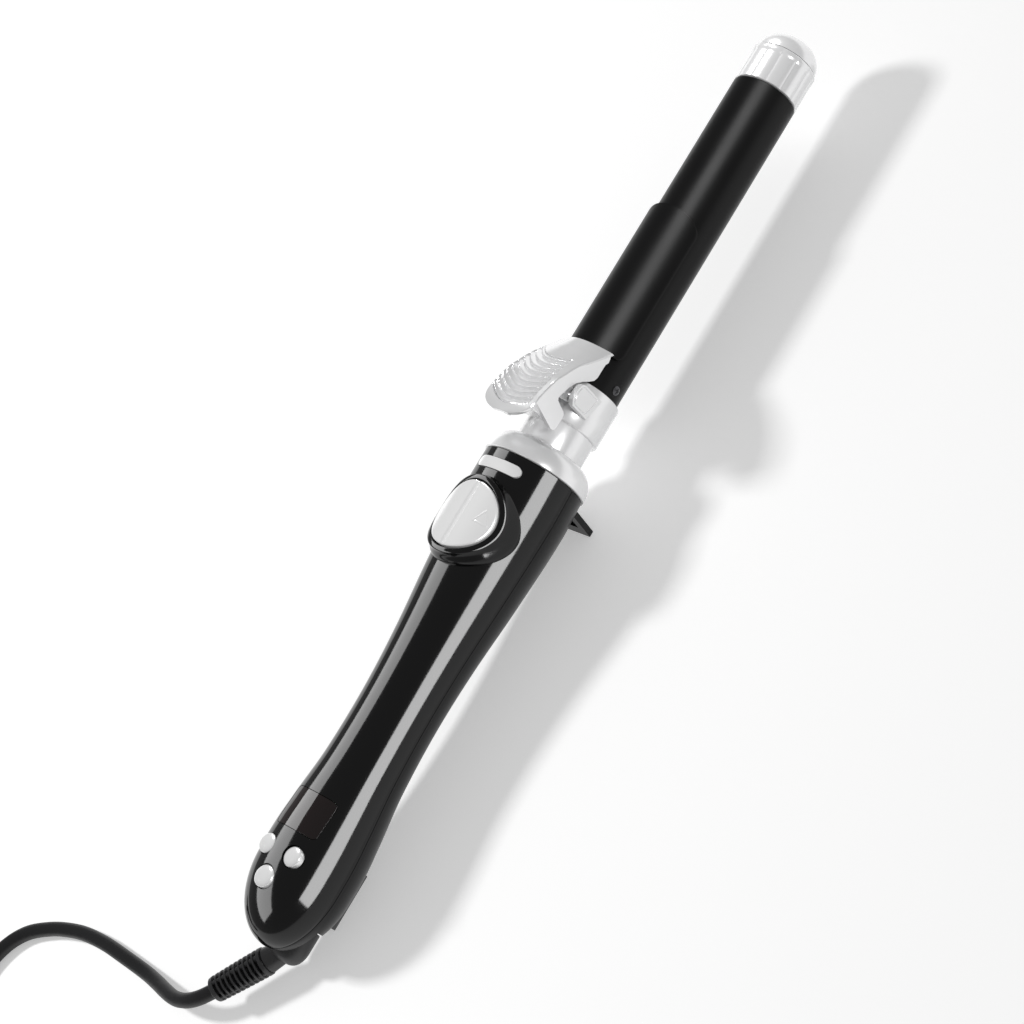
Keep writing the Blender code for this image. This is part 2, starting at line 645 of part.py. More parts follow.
def shell_screws():
    for number, x in enumerate(SCREWS_X, 1):
        outer = centre_z(x) - handle_radius(x)
        head, tip = outer + 0.0002, centre_z(x) + 0.0010
        profile = (
            (tip, 0), (tip - 0.0010, 0.0010), (head + 0.0010, 0.0010), (head + 0.0010, 0.0025), (head, 0.0022), (head, 0),
        )
        screw = piece(f"shell_screw_{number}", turned(profile, COARSE, TURN_Z, (x, 0, 0)), STEEL)
        for a, b in ((0.0013, 0.00022), (0.00022, 0.0013)):
            cut(screw, block((x - a, -b, head - 0.001), (x + a, b, head + 0.0006)))


# ---------------------------------------------------------------- stand and foot
def stand_outline():
    """The leg and its knuckle from the side, leaning back and cut level at the table."""
    cos, sin = math.cos(STAND_LEAN), math.sin(STAND_LEAN)
    back = STAND_THICKNESS - STAND_KNUCKLE  # the leg's rear face behind the pin
    turn = math.pi + math.acos(back / STAND_KNUCKLE)
    points = []
    for i in range(11):
        angle = turn * i / 10
        out, up = STAND_KNUCKLE * math.cos(angle), STAND_KNUCKLE * math.sin(angle)
        points.append((STAND_X + out * cos + up * sin, STAND_Z - out * sin + up * cos))
    for out in (-back, STAND_KNUCKLE):
        down = (STAND_Z - out * sin - TABLE_Z) / cos
        points.append((STAND_X + out * cos - down * sin, TABLE_Z))
    return points


def stand():
    plate = piece("stand", prism(stand_outline(), 2 * STAND_HALF_WIDTH, (0, 0, 0), "Y"), SATIN_BLACK, stand_hinge)
    web = block(
        (STAND_X - 0.004, -STAND_HALF_WIDTH + 0.0030, TABLE_Z + 0.0045),
        (STAND_X + 0.0009, STAND_HALF_WIDTH - 0.0030, STAND_Z - STAND_KNUCKLE - 0.0012),
    )
    about = Matrix.Translation((STAND_X, 0, STAND_Z))
    web.transform(about @ Matrix.Rotation(STAND_LEAN, 4, "Y") @ about.inverted())
    cut(plate, web)
    cut(plate, rod((STAND_X, -0.020, STAND_Z), (STAND_X, 0.020, STAND_Z), STAND_PIN_RADIUS + GAP))
    pin_half = STAND_HALF_WIDTH + 0.0015
    pin = rod((STAND_X, -pin_half, STAND_Z), (STAND_X, pin_half, STAND_Z), STAND_PIN_RADIUS)
    piece("stand_pin", pin, STEEL)


def rear_foot():
    start = -HANDLE_LENGTH + FOOT_FROM_END
    upper = -0.0150
    flare = (FOOT_TOP_HALF - FOOT_BASE_HALF) / (-0.0215 - TABLE_Z)
    top_half = FOOT_BASE_HALF + flare * (upper - TABLE_Z)
    outline = ((-FOOT_BASE_HALF, TABLE_Z), (FOOT_BASE_HALF, TABLE_Z), (top_half, upper), (-top_half, upper))
    foot = piece("rear_foot", prism(outline, FOOT_LENGTH, (start + FOOT_LENGTH / 2, 0, 0), "X"), SOFT_BLACK)
    cut(foot, handle_form(-GAP))


# ---------------------------------------------------------------- swivel and cord
def swivel():
    face, z = SWIVEL_FACE, -SWIVEL_DROP
    socket = ring_solid(face + 0.0001, face + 0.0057, 0.0029, 0.0047, COARSE, at=(0, 0, z))
    piece("swivel_socket", socket, STEEL)
    end = -HANDLE_LENGTH
    profile = (
        (face + 0.0073, 0), (face + 0.0073, 0.0040), (face + 0.0061, 0.0040), (face + 0.0061, 0.0026),
        (face - GAP, 0.0026), (face - GAP, SWIVEL_RADIUS), (ELBOW.x + 0.0010, SWIVEL_RADIUS - 0.0006),
        (end + 0.0013, SWIVEL_RADIUS - 0.0016), (end + 0.0003, 0.0034), (end + 0.0001, 0),
    )
    elbow = piece("swivel_elbow", turned(profile, MEDIUM, at=(0, 0, z)), SOFT_BLACK, swivel_axis)
    join(elbow, rod(ELBOW, ELBOW + CORD_DIRECTION * (RELIEF_START - GAP), 0.0040, MEDIUM))
    relief = (
        (RELIEF_END, 0), (RELIEF_END, 0.0033), (RELIEF_END - 0.0016, 0.0043), (RELIEF_START, RELIEF_RADIUS),
        (RELIEF_START, 0),
    )
    piece("strain_relief", turned(relief, MEDIUM, CORD_DIRECTION, ELBOW), SOFT_BLACK, swivel_axis)


def cord():
    leave = ELBOW + CORD_DIRECTION * (RELIEF_END + GAP)
    lead = leave + CORD_DIRECTION * 0.0015
    line = [leave] + smooth_line([lead] + [Vector(p) for p in CORD_ROUTE], CORD_STEP)
    piece("cord_tube", tube(line, CORD_RADIUS), SOFT_BLACK)
    piece("cord_tail", tube(smooth_line(TAIL_ROUTE, CORD_STEP), CORD_RADIUS), SOFT_BLACK)
    diameter = 2 * CORD_RADIUS
    half_bundle = COIL_ROWS * diameter / 2
    low, high = TABLE_Z, TABLE_Z + COIL_LAYERS * diameter
    inner, outer = COIL_MEAN_RADIUS - half_bundle, COIL_MEAN_RADIUS + half_bundle
    bundle = ring_solid(low, high, inner, outer, FINE, TURN_Z, (*COIL_CENTRE, 0))
    piece("cord_coil", bundle, SOFT_BLACK)


def plug():
    start = Vector(TAIL_ROUTE[-1])
    entry_x = start.x - GAP
    z = TABLE_Z + PLUG_THICKNESS / 2
    half, neck = PLUG_WIDTH / 2, 0.0060
    outline = (
        (0, neck), (-0.0130, neck + 0.0015), (-0.0240, half), (-PLUG_LENGTH, half),
        (-PLUG_LENGTH, -half), (-0.0240, -half), (-0.0130, -neck - 0.0015), (0, -neck),
    )
    body = prism(outline, PLUG_THICKNESS, (entry_x, start.y, z))
    plug_body = piece("plug_body", body, SOFT_BLACK)
    round_off = plug_body.modifiers.new("round_off", "BEVEL")
    round_off.width = 0.0018
    round_off.segments = 2
    face = entry_x - PLUG_LENGTH
    for name, side in (("plug_pin_left", 1), ("plug_pin_right", -1)):
        y = start.y + side * PLUG_PIN_SPACING / 2
        piece(name, rod((face - PLUG_PIN_LENGTH, y, z), (face - GAP, y, z), PLUG_PIN_RADIUS, 12), BRASS)


# ---------------------------------------------------------------- barrel
def ear_outline():
    points = [(HINGE_X + EAR_HALF_WIDTH, 0.0052)]
    for i in range(2 * EDGE_STEPS + 1):
        angle = math.pi * i / (2 * EDGE_STEPS)
        points.append((HINGE_X + EAR_HALF_WIDTH * math.cos(angle), HINGE_Z + EAR_TOP * math.sin(angle)))
    points.append((HINGE_X - EAR_HALF_WIDTH, 0.0052))
    return points


def barrel_base():
    seat = BARREL_RADIUS + GAP
    floor = BASE_COLLAR_END - BARREL_SEAT
    profile = (
        (BASE_COLLAR_END, BASE_COLLAR_RADIUS - 0.0004), (BASE_COLLAR_END - 0.0006, BASE_COLLAR_RADIUS),
        (BASE_COLLAR_START + 0.0004, BASE_COLLAR_RADIUS), (BASE_COLLAR_START, BASE_COLLAR_RADIUS - 0.0004),
        (BASE_COLLAR_START, NECK_RADIUS), (NECK_START, NECK_RADIUS), (NECK_START, DRUM_RADIUS - 0.0012),
        (-0.0120, DRUM_RADIUS - 0.0012), (-0.0120, SHAFT_RADIUS + GAP), (0.0030, SHAFT_RADIUS + GAP),
        (0.0030, 0.0085), (floor, 0.0085), (floor, seat), (BASE_COLLAR_END, seat),
    )
    base = piece("barrel_base", turned(profile, FINE, ring=True), SILVER, barrel_axis)
    ear_thickness, ear_middle = EAR_OUTER_Y - EAR_INNER_Y, (EAR_OUTER_Y + EAR_INNER_Y) / 2
    for side in (-1, 1):
        join(base, prism(ear_outline(), ear_thickness, (0, side * ear_middle, 0), "Y"))
    pin_reach = EAR_OUTER_Y - 0.0006
    bore = HINGE_PIN_RADIUS + GAP
    cut(base, rod((HINGE_X, -pin_reach, HINGE_Z), (HINGE_X, pin_reach, HINGE_Z), bore))
    pin_half = pin_reach - GAP
    pin = rod((HINGE_X, -pin_half, HINGE_Z), (HINGE_X, pin_half, HINGE_Z), HINGE_PIN_RADIUS)
    piece("hinge_pin", pin, STEEL, barrel_axis)


def barrel_tube():
    start = BASE_COLLAR_END - BARREL_SEAT + GAP
    tube_piece = piece(
        "barrel_tube",
        ring_solid(start, BARREL_END, BARREL_RADIUS - BARREL_WALL, BARREL_RADIUS, FINE),
        COATED_BLACK,
        barrel_axis,
    )
    hole = BARREL_RADIUS - BARREL_WALL - 0.0020
    cut(tube_piece, rod((BARREL_SCREW_X, -0.020, 0), (BARREL_SCREW_X, -hole, 0), 0.0012, 12))
    head, inner = -BARREL_RADIUS - 0.0005, -BARREL_RADIUS + BARREL_WALL + 0.0020
    profile = (
        (-head, 0), (-head, 0.0010), (-head - 0.0004, 0.0018), (BARREL_RADIUS + 0.0001, 0.0018),
        (BARREL_RADIUS + 0.0001, 0.0009), (-inner, 0.0009), (-inner, 0),
    )
    at = (BARREL_SCREW_X, 0, 0)
    screw = piece("barrel_screw", turned(profile, COARSE, -TURN_Y, at), STEEL, barrel_axis)
    for a, b in ((0.0011, 0.00018), (0.00018, 0.0011)):
        cut(screw, block((BARREL_SCREW_X - a, head - 0.001, -b), (BARREL_SCREW_X + a, head + 0.0004, b)))


def tip():
    start = BARREL_END + GAP
    end = BARREL_END + TIP_SLEEVE_LENGTH
    bore, spigot = 0.0092, BARREL_RADIUS - BARREL_WALL - GAP
    profile = (
        (end, BARREL_RADIUS - 0.0003), (start + 0.0004, BARREL_RADIUS + 0.0002), (start, BARREL_RADIUS),
        (start, spigot), (start - TIP_SPIGOT, spigot), (start - TIP_SPIGOT, bore), (end, bore),
    )
    piece("tip_sleeve", turned(profile, FINE, ring=True), SILVER, barrel_axis)
    dome = []
    for i in range(6):
        angle = math.pi / 2 * i / 5
        x = end + GAP + TIP_CAP_LENGTH * math.cos(angle)
        dome.append((x, (BARREL_RADIUS - 0.0004) * math.sin(angle) ** 0.8))
    stem = [(end + GAP, bore - GAP), (end - 0.0050, bore - GAP), (end - 0.0050, 0)]
    piece("tip_cap", turned(dome + stem, FINE), SILVER, barrel_axis)


def heater():
    middle = (BASE_COLLAR_END + BARREL_END) / 2 + 0.006
    start, end = middle - HEATER_LENGTH / 2, middle + HEATER_LENGTH / 2
    half = HEATER_THICKNESS / 2
    plate = block((start, -HEATER_WIDTH / 2, -half), (end, HEATER_WIDTH / 2, half))
    piece("heater_plate", plate, CERAMIC, barrel_axis)
    outer = BARREL_RADIUS - BARREL_WALL - GAP
    inner = outer - SPREADER_WALL
    for name, side in (("heat_spreader_front", 1), ("heat_spreader_rear", -1)):
        spreader = piece(name, rod((start, 0, 0), (end, 0, 0), outer, MEDIUM), ALUMINIUM, barrel_axis)
        flat = side * (half + GAP)
        low, high = sorted((flat, -side * 0.020))
        cut(spreader, block((start - 0.001, -0.020, low), (end + 0.001, 0.020, high)))
        cut(spreader, shaped(
            rod((start - 0.001, 0, 0), (end + 0.001, 0, 0), inner, MEDIUM),
            ("DIFFERENCE", block((start - 0.002, -0.020, low), (end + 0.002, 0.020, high + max(0, side) * SPREADER_WALL))
             if side > 0 else block((start - 0.002, -0.020, low - SPREADER_WALL), (end + 0.002, 0.020, high))),
        ))


# ---------------------------------------------------------------- clamp
def clamp_plate():
    half = math.sqrt((CLAMP_OUTER - 0.0002) ** 2 - CLAMP_EDGE_Z**2)
    points = []
    for i in range(EDGE_STEPS * 2 + 1):  # the free end, rounded like a spoon
        angle = -math.pi / 2 + math.pi * i / (EDGE_STEPS * 2)
        points.append((CLAMP_END - 0.0060 + 0.0060 * math.cos(angle), half * math.sin(angle)))
    shoulder, tongue = CLAMP_START, 0.0070
    points += [
        (shoulder + 0.0030, half), (shoulder + 0.0009, half - 0.0009), (shoulder, half - 0.0030),
        (shoulder, tongue), (shoulder - CLAMP_TONGUE, tongue),
        (shoulder - CLAMP_TONGUE, -tongue), (shoulder, -tongue),
        (shoulder, -half + 0.0030), (shoulder + 0.0009, -half + 0.0009), (shoulder + 0.0030, -half),
    ]
    plate = piece("clamp_plate", prism(points, 0.0160, (0, 0, CLAMP_EDGE_Z + 0.0080)), COATED_BLACK, clamp_hinge)
    start = shoulder - CLAMP_TONGUE - 0.002
    limit(plate, ring_solid(start, CLAMP_END + 0.002, CLAMP_INNER, CLAMP_OUTER, FINE))
    for number, y in ((1, 0.0035), (2, -0.0035)):
        x = shoulder - CLAMP_TONGUE / 2
        seat = math.sqrt(CLAMP_OUTER**2 - y**2)
        cut(plate, rod((x, y, 0.010), (x, y, 0.020), 0.0010, 10))
        rivet = rod((x, y, seat - 0.0011), (x, y, seat + 0.0002), 0.0007, 10)
        piece(f"clamp_rivet_{number}", rivet, STEEL, clamp_hinge)


def lever_wing():
    """The lever's thumb plate, an open sheet lofted over its crowned sections."""
    bm = bmesh.new()
    across = 8
    along = 12
    rows = []
    for i in range(along + 1):
        x, edge, crown = smooth(LEVER_SPINE, i / along)
        row = []
        for j in range(across + 1):
            share = 2 * j / across - 1
            tuck = 0.0034 * max(0.0, 1 - i / 3) ** 2 * abs(share) ** 3  # the rounded free end
            row.append(bm.verts.new((x + tuck, share * LEVER_HALF_WIDTH, edge + crown * (1 - share**2))))
        rows.append(row)
    for a, b in zip(rows, rows[1:]):
        for j in range(across):
            bm.faces.new((a[j], b[j], b[j + 1], a[j + 1]))
    bmesh.ops.recalc_face_normals(bm, faces=bm.faces)
    mesh = bpy.data.meshes.new("wing")
    bm.to_mesh(mesh)
    bm.free()
    obj = bpy.data.objects.new("wing", mesh)
    bpy.context.scene.collection.objects.link(obj)
    thick = obj.modifiers.new("thickness", "SOLIDIFY")
    thick.thickness = LEVER_THICKNESS
    thick.offset = 1 if mesh.polygons[0].normal.z < 0 else -1
    return evaluated(obj)


def lever_side_outline():
    """One side wall: under the wing's edge, arched over the ear, with a stop lug at its free end."""
    under = [(x, z - 0.0004) for x, z, _ in (smooth(LEVER_SPINE, i / 10) for i in range(1, 11))]
    x_back = under[0][0]
    lower = [
        (0.0468, 0.0098), (0.0445, 0.0092), (0.0375, 0.0092), (0.0366, 0.0108), (0.0345, 0.0125),
        (HINGE_X + 0.0030, HINGE_Z - 0.0024), (HINGE_X - 0.0028, HINGE_Z - 0.0024), (0.0215, 0.0160),
        (x_back + 0.0012, 0.0166),
    ]
    return under + lower


def clamp_lever():
    lever = piece("clamp_lever", lever_wing(), SILVER, clamp_hinge)
    middle, wall = 0.0098, 0.0026
    for side in (-1, 1):
        join(lever, prism(lever_side_outline(), wall, (0, side * middle, 0), "Y"))
    cut(lever, rod((0.0350, 0, 0), (0.0600, 0, 0), CLAMP_OUTER + GAP, FINE))
    bore = HINGE_PIN_RADIUS + GAP
    cut(lever, rod((HINGE_X, -0.020, HINGE_Z), (HINGE_X, 0.020, HINGE_Z), bore))


def clamp_spring():
    """A torsion spring round the hinge pin, with one leg on the base and one under the lever."""
    radius, wire, turns, per_turn = 0.0021, 0.00035, 4, 9
    pitch = 0.0013
    points = []
    for i in range(turns * per_turn + 1):
        angle = 2 * math.pi * i / per_turn
        y = -turns * pitch / 2 + pitch * i / per_turn
        points.append((HINGE_X + radius * math.sin(angle), y, HINGE_Z + radius * math.cos(angle)))
    first = (HINGE_X - 0.0085, points[0][1], HINGE_Z + radius + 0.0002)
    last = (HINGE_X - 0.0085, points[-1][1], HINGE_Z + radius + 0.0030)
    piece("clamp_spring", tube([first] + points + [last], wire, 1), STEEL, barrel_axis)


# ---------------------------------------------------------------- drive
def gear_outline(teeth, grow=0.0, addendum=ADDENDUM, dedendum=DEDENDUM, phase=0.0):
    """Involute teeth as an outline about the origin; grow widens each tooth and phase turns it, in radians."""
    pitch = MODULE * teeth / 2
    base = pitch * math.cos(PRESSURE_ANGLE)
    tip, root = pitch + addendum * MODULE, pitch - dedendum * MODULE
    involute = math.tan(PRESSURE_ANGLE) - PRESSURE_ANGLE
    half = math.pi / (2 * teeth) + (grow - BACKLASH) / pitch
    flank = []
    for i in range(2):
        r = max(base, root) + (tip - max(base, root)) * i
        pressure = math.acos(min(1, base / r))
        flank.append((r, half + involute - (math.tan(pressure) - pressure)))
    if root < base:
        flank.insert(0, (root, flank[0][1]))
    points = []
    for tooth in range(teeth):
        middle = phase + 2 * math.pi * tooth / teeth
        for r, angle in flank:
            points.append((r * math.sin(middle - angle), r * math.cos(middle - angle)))
        for r, angle in reversed(flank):
            points.append((r * math.sin(middle + angle), r * math.cos(middle + angle)))
    return points


def gear(teeth, centre, phase):
    middle = (GEAR_START + GEAR_END) / 2
    return prism(gear_outline(teeth, phase=phase), GEAR_FACE, (middle, *centre), "X")


def planet_places():
    for i in range(PLANETS):
        angle = 2 * math.pi * i / PLANETS
        yield i + 1, PLANET_ORBIT * math.sin(angle), PLANET_ORBIT * math.cos(angle)


def gearbox():
    ring_start, ring_end = GEAR_START + 0.0020, GEAR_END - 0.0002
    housing = piece("gearbox_ring", rod((ring_end, 0, 0), (ring_start, 0, 0), RING_RADIUS, FINE), NYLON)
    space = gear_outline(
        RING_TEETH, grow=2 * BACKLASH, addendum=DEDENDUM, dedendum=ADDENDUM, phase=math.pi / RING_TEETH
    )
    cut(housing, prism(space, 0.020, ((ring_start + ring_end) / 2, 0, 0), "X"))
    cover = ring_solid(ring_start + GAP, ring_start + 0.0016, SHAFT_RADIUS + RUNNING_GAP, 0.0101, MEDIUM)
    piece("gearbox_cover", cover, NYLON)
    pin_radius = 0.0008
    for number, y, z in planet_places():
        axis = pivot(f"planet_axis_{number}", (0, y, z), barrel_axis)
        planet = gear(PLANET_TEETH, (y, z), math.pi / PLANET_TEETH)
        wheel = piece(f"planet_gear_{number}", planet, NYLON, axis)
        cut(wheel, rod((GEAR_END - 0.001, y, z), (GEAR_START + 0.001, y, z), pin_radius + 0.0001, 10))
    disc_near, disc_far = GEAR_START + 0.0002, GEAR_START + 0.0017
    profile = (
        (-0.0085, 0), (-0.0085, SHAFT_RADIUS), (disc_far, SHAFT_RADIUS), (disc_far, PLANET_ORBIT + 0.0018),
        (disc_near, PLANET_ORBIT + 0.0018), (disc_near, 0),
    )
    carrier = piece("planet_carrier", turned(profile, MEDIUM), STEEL, barrel_axis)
    for _, y, z in planet_places():
        join(carrier, rod((GEAR_END + 0.0004, y, z), (disc_far - 0.0005, y, z), pin_radius, 10))


def motor():
    front = GEAR_END - 0.0005
    back = front - MOTOR_LENGTH
    profile = (
        (front - 0.0080, 0), (front - 0.0080, 0.0016), (front, 0.0016), (front, MOTOR_RADIUS), (back, MOTOR_RADIUS),
        (back, 0.0035), (back - 0.0015, 0.0035), (back - 0.0015, 0),
    )
    piece("motor_can", turned(profile, MEDIUM), STEEL)
    sun = piece("sun_gear", gear(SUN_TEETH, (0, 0), 0.0), BRASS, barrel_axis)
    join(sun, rod((front - 0.0075, 0, 0), (GEAR_END + 0.001, 0, 0), 0.0011, 12))


def slip_rings():
    drum = ring_solid(-0.0112, -0.0014, DRUM_RADIUS - 0.0009, DRUM_RADIUS, MEDIUM)
    piece("slip_ring_drum", drum, NYLON, barrel_axis)
    for number, x in ((1, -0.0042), (2, -0.0084)):
        band = ring_solid(x - 0.0011, x + 0.0011, DRUM_RADIUS + 0.0001, SLIP_RING_RADIUS, MEDIUM)
        piece(f"slip_ring_{number}", band, BRASS, barrel_axis)
    brush_block = piece("brush_block", block((-0.0112, 0.0082, -0.0035), (-0.0014, 0.0140, 0.0035)), NYLON)
    for x in (-0.0042, -0.0084):
        join(brush_block, block((x - 0.0009, SLIP_RING_RADIUS + 0.0002, -0.0012), (x + 0.0009, 0.0100, 0.0012)))


front_shell()
rear_shell()
end_collar()
trim_bar()
display()
bezel_and_rocker()
rocker_works()
buttons()
control_board()
shell_screws()
stand()
rear_foot()
swivel()
cord()
plug()
barrel_base()
barrel_tube()
tip()
heater()
clamp_plate()
clamp_lever()
clamp_spring()
gearbox()
motor()
slip_rings()
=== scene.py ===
"""Looks for the automatic hair curler: fine surfaces, materials, the cord, the studio and the camera.

Shapes are worked out from the datum, on the barrel's axis at the handle's top face (X towards the tip, Z up),
in metres, and moved into the row frame as they are made.
"""

import math

import bmesh
import bpy
from mathutils import Matrix, Vector


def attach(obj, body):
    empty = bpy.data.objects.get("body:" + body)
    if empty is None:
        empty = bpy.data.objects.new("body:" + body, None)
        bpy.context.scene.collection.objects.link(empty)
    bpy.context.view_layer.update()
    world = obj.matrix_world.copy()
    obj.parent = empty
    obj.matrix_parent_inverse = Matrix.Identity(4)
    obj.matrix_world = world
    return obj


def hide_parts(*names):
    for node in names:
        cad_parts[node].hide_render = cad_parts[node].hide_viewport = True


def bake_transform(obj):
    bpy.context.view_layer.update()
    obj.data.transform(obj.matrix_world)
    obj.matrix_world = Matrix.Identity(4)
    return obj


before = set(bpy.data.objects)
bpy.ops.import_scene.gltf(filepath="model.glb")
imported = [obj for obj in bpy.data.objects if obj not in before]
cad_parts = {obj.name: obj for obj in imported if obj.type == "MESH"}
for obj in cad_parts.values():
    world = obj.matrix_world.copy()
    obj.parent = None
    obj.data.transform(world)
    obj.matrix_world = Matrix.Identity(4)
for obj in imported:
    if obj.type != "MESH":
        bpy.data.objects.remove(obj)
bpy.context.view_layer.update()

# ---------------------------------------------------------------- sizes, as in the CAD
GAP = 0.0003
REST_HEIGHT = 0.0285
HANDLE_LENGTH, BUTT_LENGTH, HANDLE_WALL, HANDLE_DROP = 0.185, 0.027, 0.0022, 0.0365
GRIP_OUTLINE = (
    (0.00, 0.0193), (0.10, 0.0195), (0.28, 0.0178), (0.45, 0.0156),
    (0.60, 0.0147), (0.75, 0.0153), (0.88, 0.0173), (0.95, 0.0181), (1.00, 0.0180),
)
BARREL_RADIUS, BARREL_END, TIP_LENGTH = 0.0125, 0.1654, 0.0150
TIP_CAP_LENGTH = 0.0088
NECK_RADIUS, BASE_COLLAR_RADIUS = 0.0127, 0.0139
BASE_COLLAR_START, BASE_COLLAR_END = 0.0195, 0.0358
HINGE_X, HINGE_Z = 0.0274, 0.0164
CLAMP_INNER, CLAMP_OUTER = 0.0128, 0.0142
CLAMP_START, CLAMP_END = 0.0480, 0.1078
LEVER_SPINE = (
    (0.0088, 0.0316, 0.0004), (0.0180, 0.0304, 0.0006), (0.0262, 0.0279, 0.0008), (0.0300, 0.0258, 0.0012),
    (0.0362, 0.0219, 0.0019), (0.0425, 0.0165, 0.0031), (0.0484, 0.0112, 0.0049),
)
ROCKER_X, ROCKER_RADIUS, ROCKER_CROWN, BEZEL_CROWN = -0.0272, 0.01295, 0.0223, 0.0220
TRIM_X, TRIM_LENGTH, TRIM_WIDTH = -0.0058, 0.0042, 0.0200
WINDOW_X, WINDOW_LENGTH, WINDOW_WIDTH = -0.1403, 0.0143, 0.0200
BUTTONS = (
    ("power", -0.1655, 0.0, 0.0040), ("plus", -0.1555, 0.0065, 0.0036), ("minus", -0.1555, -0.0065, 0.0036),
)
SWIVEL_DROP, SWIVEL_FACE, SWIVEL_RADIUS = 0.0178, -0.1723, 0.0070
ELBOW = Vector((-0.1815, 0, -SWIVEL_DROP))
CORD_ANGLE = math.radians(37.8)
CORD_DIRECTION = Vector((-math.cos(CORD_ANGLE), math.sin(CORD_ANGLE), 0))
RELIEF_START, RELIEF_END, RELIEF_RADIUS, RELIEF_CORE = 0.0090, 0.0314, 0.0052, 0.0032
CORD_DIAMETER, CORD_LENGTH = 0.0055, 1.82
CORD_ROUTE = (
    (-0.2113, 0.0239, -0.0181), (-0.2140, 0.0281, -0.0188), (-0.2156, 0.0328, -0.0199),
    (-0.2162, 0.0378, -0.0211), (-0.2159, 0.0440, -0.0227), (-0.2152, 0.0510, -0.0244),
    (-0.2145, 0.0594, -0.0256), (-0.2140, 0.0723, -0.0257), (-0.2138, 0.0855, -0.0257),
    (-0.2149, 0.0976, -0.0257), (-0.2178, 0.1083, -0.0257), (-0.2212, 0.1160, -0.0257),
    (-0.2255, 0.1229, -0.0257), (-0.2310, 0.1279, -0.0257), (-0.2375, 0.1311, -0.0257),
    (-0.2448, 0.1327, -0.0257), (-0.2540, 0.1326, -0.0257), (-0.2640, 0.1306, -0.0257),
)
COIL_CENTRE = Vector((-0.2727, 0.1697, 0))
COIL_TURNS, COIL_RADIUS, COIL_START = 8, 0.04005, math.radians(-93)
ROW_RAMP = 0.36  # the share of a turn in which the cord moves over to its next row
TAIL_END = Vector((-0.3030, 0.1305, -0.02165))
PLUG_LENGTH, PLUG_HALF_HEIGHT, PIN_SPREAD = 0.036, 0.00685, 0.0093
TABLE_Z = -REST_HEIGHT
TIP_REACH = BARREL_END + TIP_LENGTH + GAP + TIP_CAP_LENGTH
TO_ROW = Matrix.Translation(((HANDLE_LENGTH - TIP_REACH) / 2, 0, REST_HEIGHT))
LEAN = Matrix(((1, 0, 0, 0), (0, 1, 0, 0), (HANDLE_DROP, 0, 1, 0), (0, 0, 0, 1)))


# ---------------------------------------------------------------- camera
VIEW_TURN, VIEW_TILT, VIEW_DISTANCE = math.radians(11.5), math.radians(43), 0.850
VIEW_TARGET = Vector((-0.0146, 0, 0))
LENS, SENSOR = 85.78125, 36.0  # millimetres
ROLL_ALONG, ROLL_ACROSS = 0.519, 0.855

towards = Vector((
    -math.sin(VIEW_TURN), -math.cos(VIEW_TURN) * math.sin(VIEW_TILT), math.cos(VIEW_TURN) * math.cos(VIEW_TILT)
))
along = (Vector((1, 0, 0)) - towards * towards.x).normalized()
across = along.cross(towards)
right = (along * ROLL_ALONG + across * ROLL_ACROSS).normalized()
up = towards.cross(right)
camera_data = bpy.data.cameras.new("camera")
camera_data.lens = LENS
camera_data.sensor_width = SENSOR
camera_data.clip_start = 0.01
camera = bpy.data.objects.new("camera", camera_data)
turn = Matrix((right, up, towards)).transposed().to_4x4()
camera.matrix_world = TO_ROW @ Matrix.Translation(VIEW_TARGET + towards * VIEW_DISTANCE) @ turn
bpy.context.scene.collection.objects.link(camera)
bpy.context.scene.camera = camera


# ---------------------------------------------------------------- materials
RELIEF_DEPTH = 0.00004


def surface(name, colour, roughness, metallic=0.0, specular=0.5, vary=0.06, tint=0.10, scale=220.0, bump=0.010,
            stretch=(1, 1, 1)):
    """A procedural finish: fine mottling in colour and roughness, and a little relief."""
    material = bpy.data.materials.new(name)
    material.use_nodes = True
    nodes, links = material.node_tree.nodes, material.node_tree.links
    shader = nodes["Principled BSDF"]
    shader.inputs["Metallic"].default_value = metallic
    shader.inputs["Specular IOR Level"].default_value = specular
    place = nodes.new("ShaderNodeTexCoord")
    mapping = nodes.new("ShaderNodeMapping")
    mapping.inputs["Scale"].default_value = stretch
    links.new(place.outputs["Object"], mapping.inputs["Vector"])
    broad = nodes.new("ShaderNodeTexNoise")
    broad.inputs["Scale"].default_value = scale / 8
    broad.inputs["Detail"].default_value = 4
    fine = nodes.new("ShaderNodeTexNoise")
    fine.inputs["Scale"].default_value = scale * 6
    fine.inputs["Detail"].default_value = 3
    for noise in (broad, fine):
        links.new(mapping.outputs["Vector"], noise.inputs["Vector"])
    rough = nodes.new("ShaderNodeMapRange")
    rough.inputs["To Min"].default_value = max(0.02, roughness - vary)
    rough.inputs["To Max"].default_value = roughness + vary
    links.new(broad.outputs["Fac"], rough.inputs["Value"])
    links.new(rough.outputs["Result"], shader.inputs["Roughness"])
    mix = nodes.new("ShaderNodeMix")
    mix.data_type = "RGBA"
    mix.inputs["A"].default_value = (*[c * (1 - tint) for c in colour], 1)
    mix.inputs["B"].default_value = (*[min(1, c * (1 + tint)) for c in colour], 1)
    links.new(broad.outputs["Fac"], mix.inputs["Factor"])
    links.new(mix.outputs["Result"], shader.inputs["Base Color"])
    relief = nodes.new("ShaderNodeBump")
    relief.inputs["Strength"].default_value = bump * 10
    relief.inputs["Distance"].default_value = RELIEF_DEPTH
    links.new(fine.outputs["Fac"], relief.inputs["Height"])
    links.new(relief.outputs["Normal"], shader.inputs["Normal"])
    return material


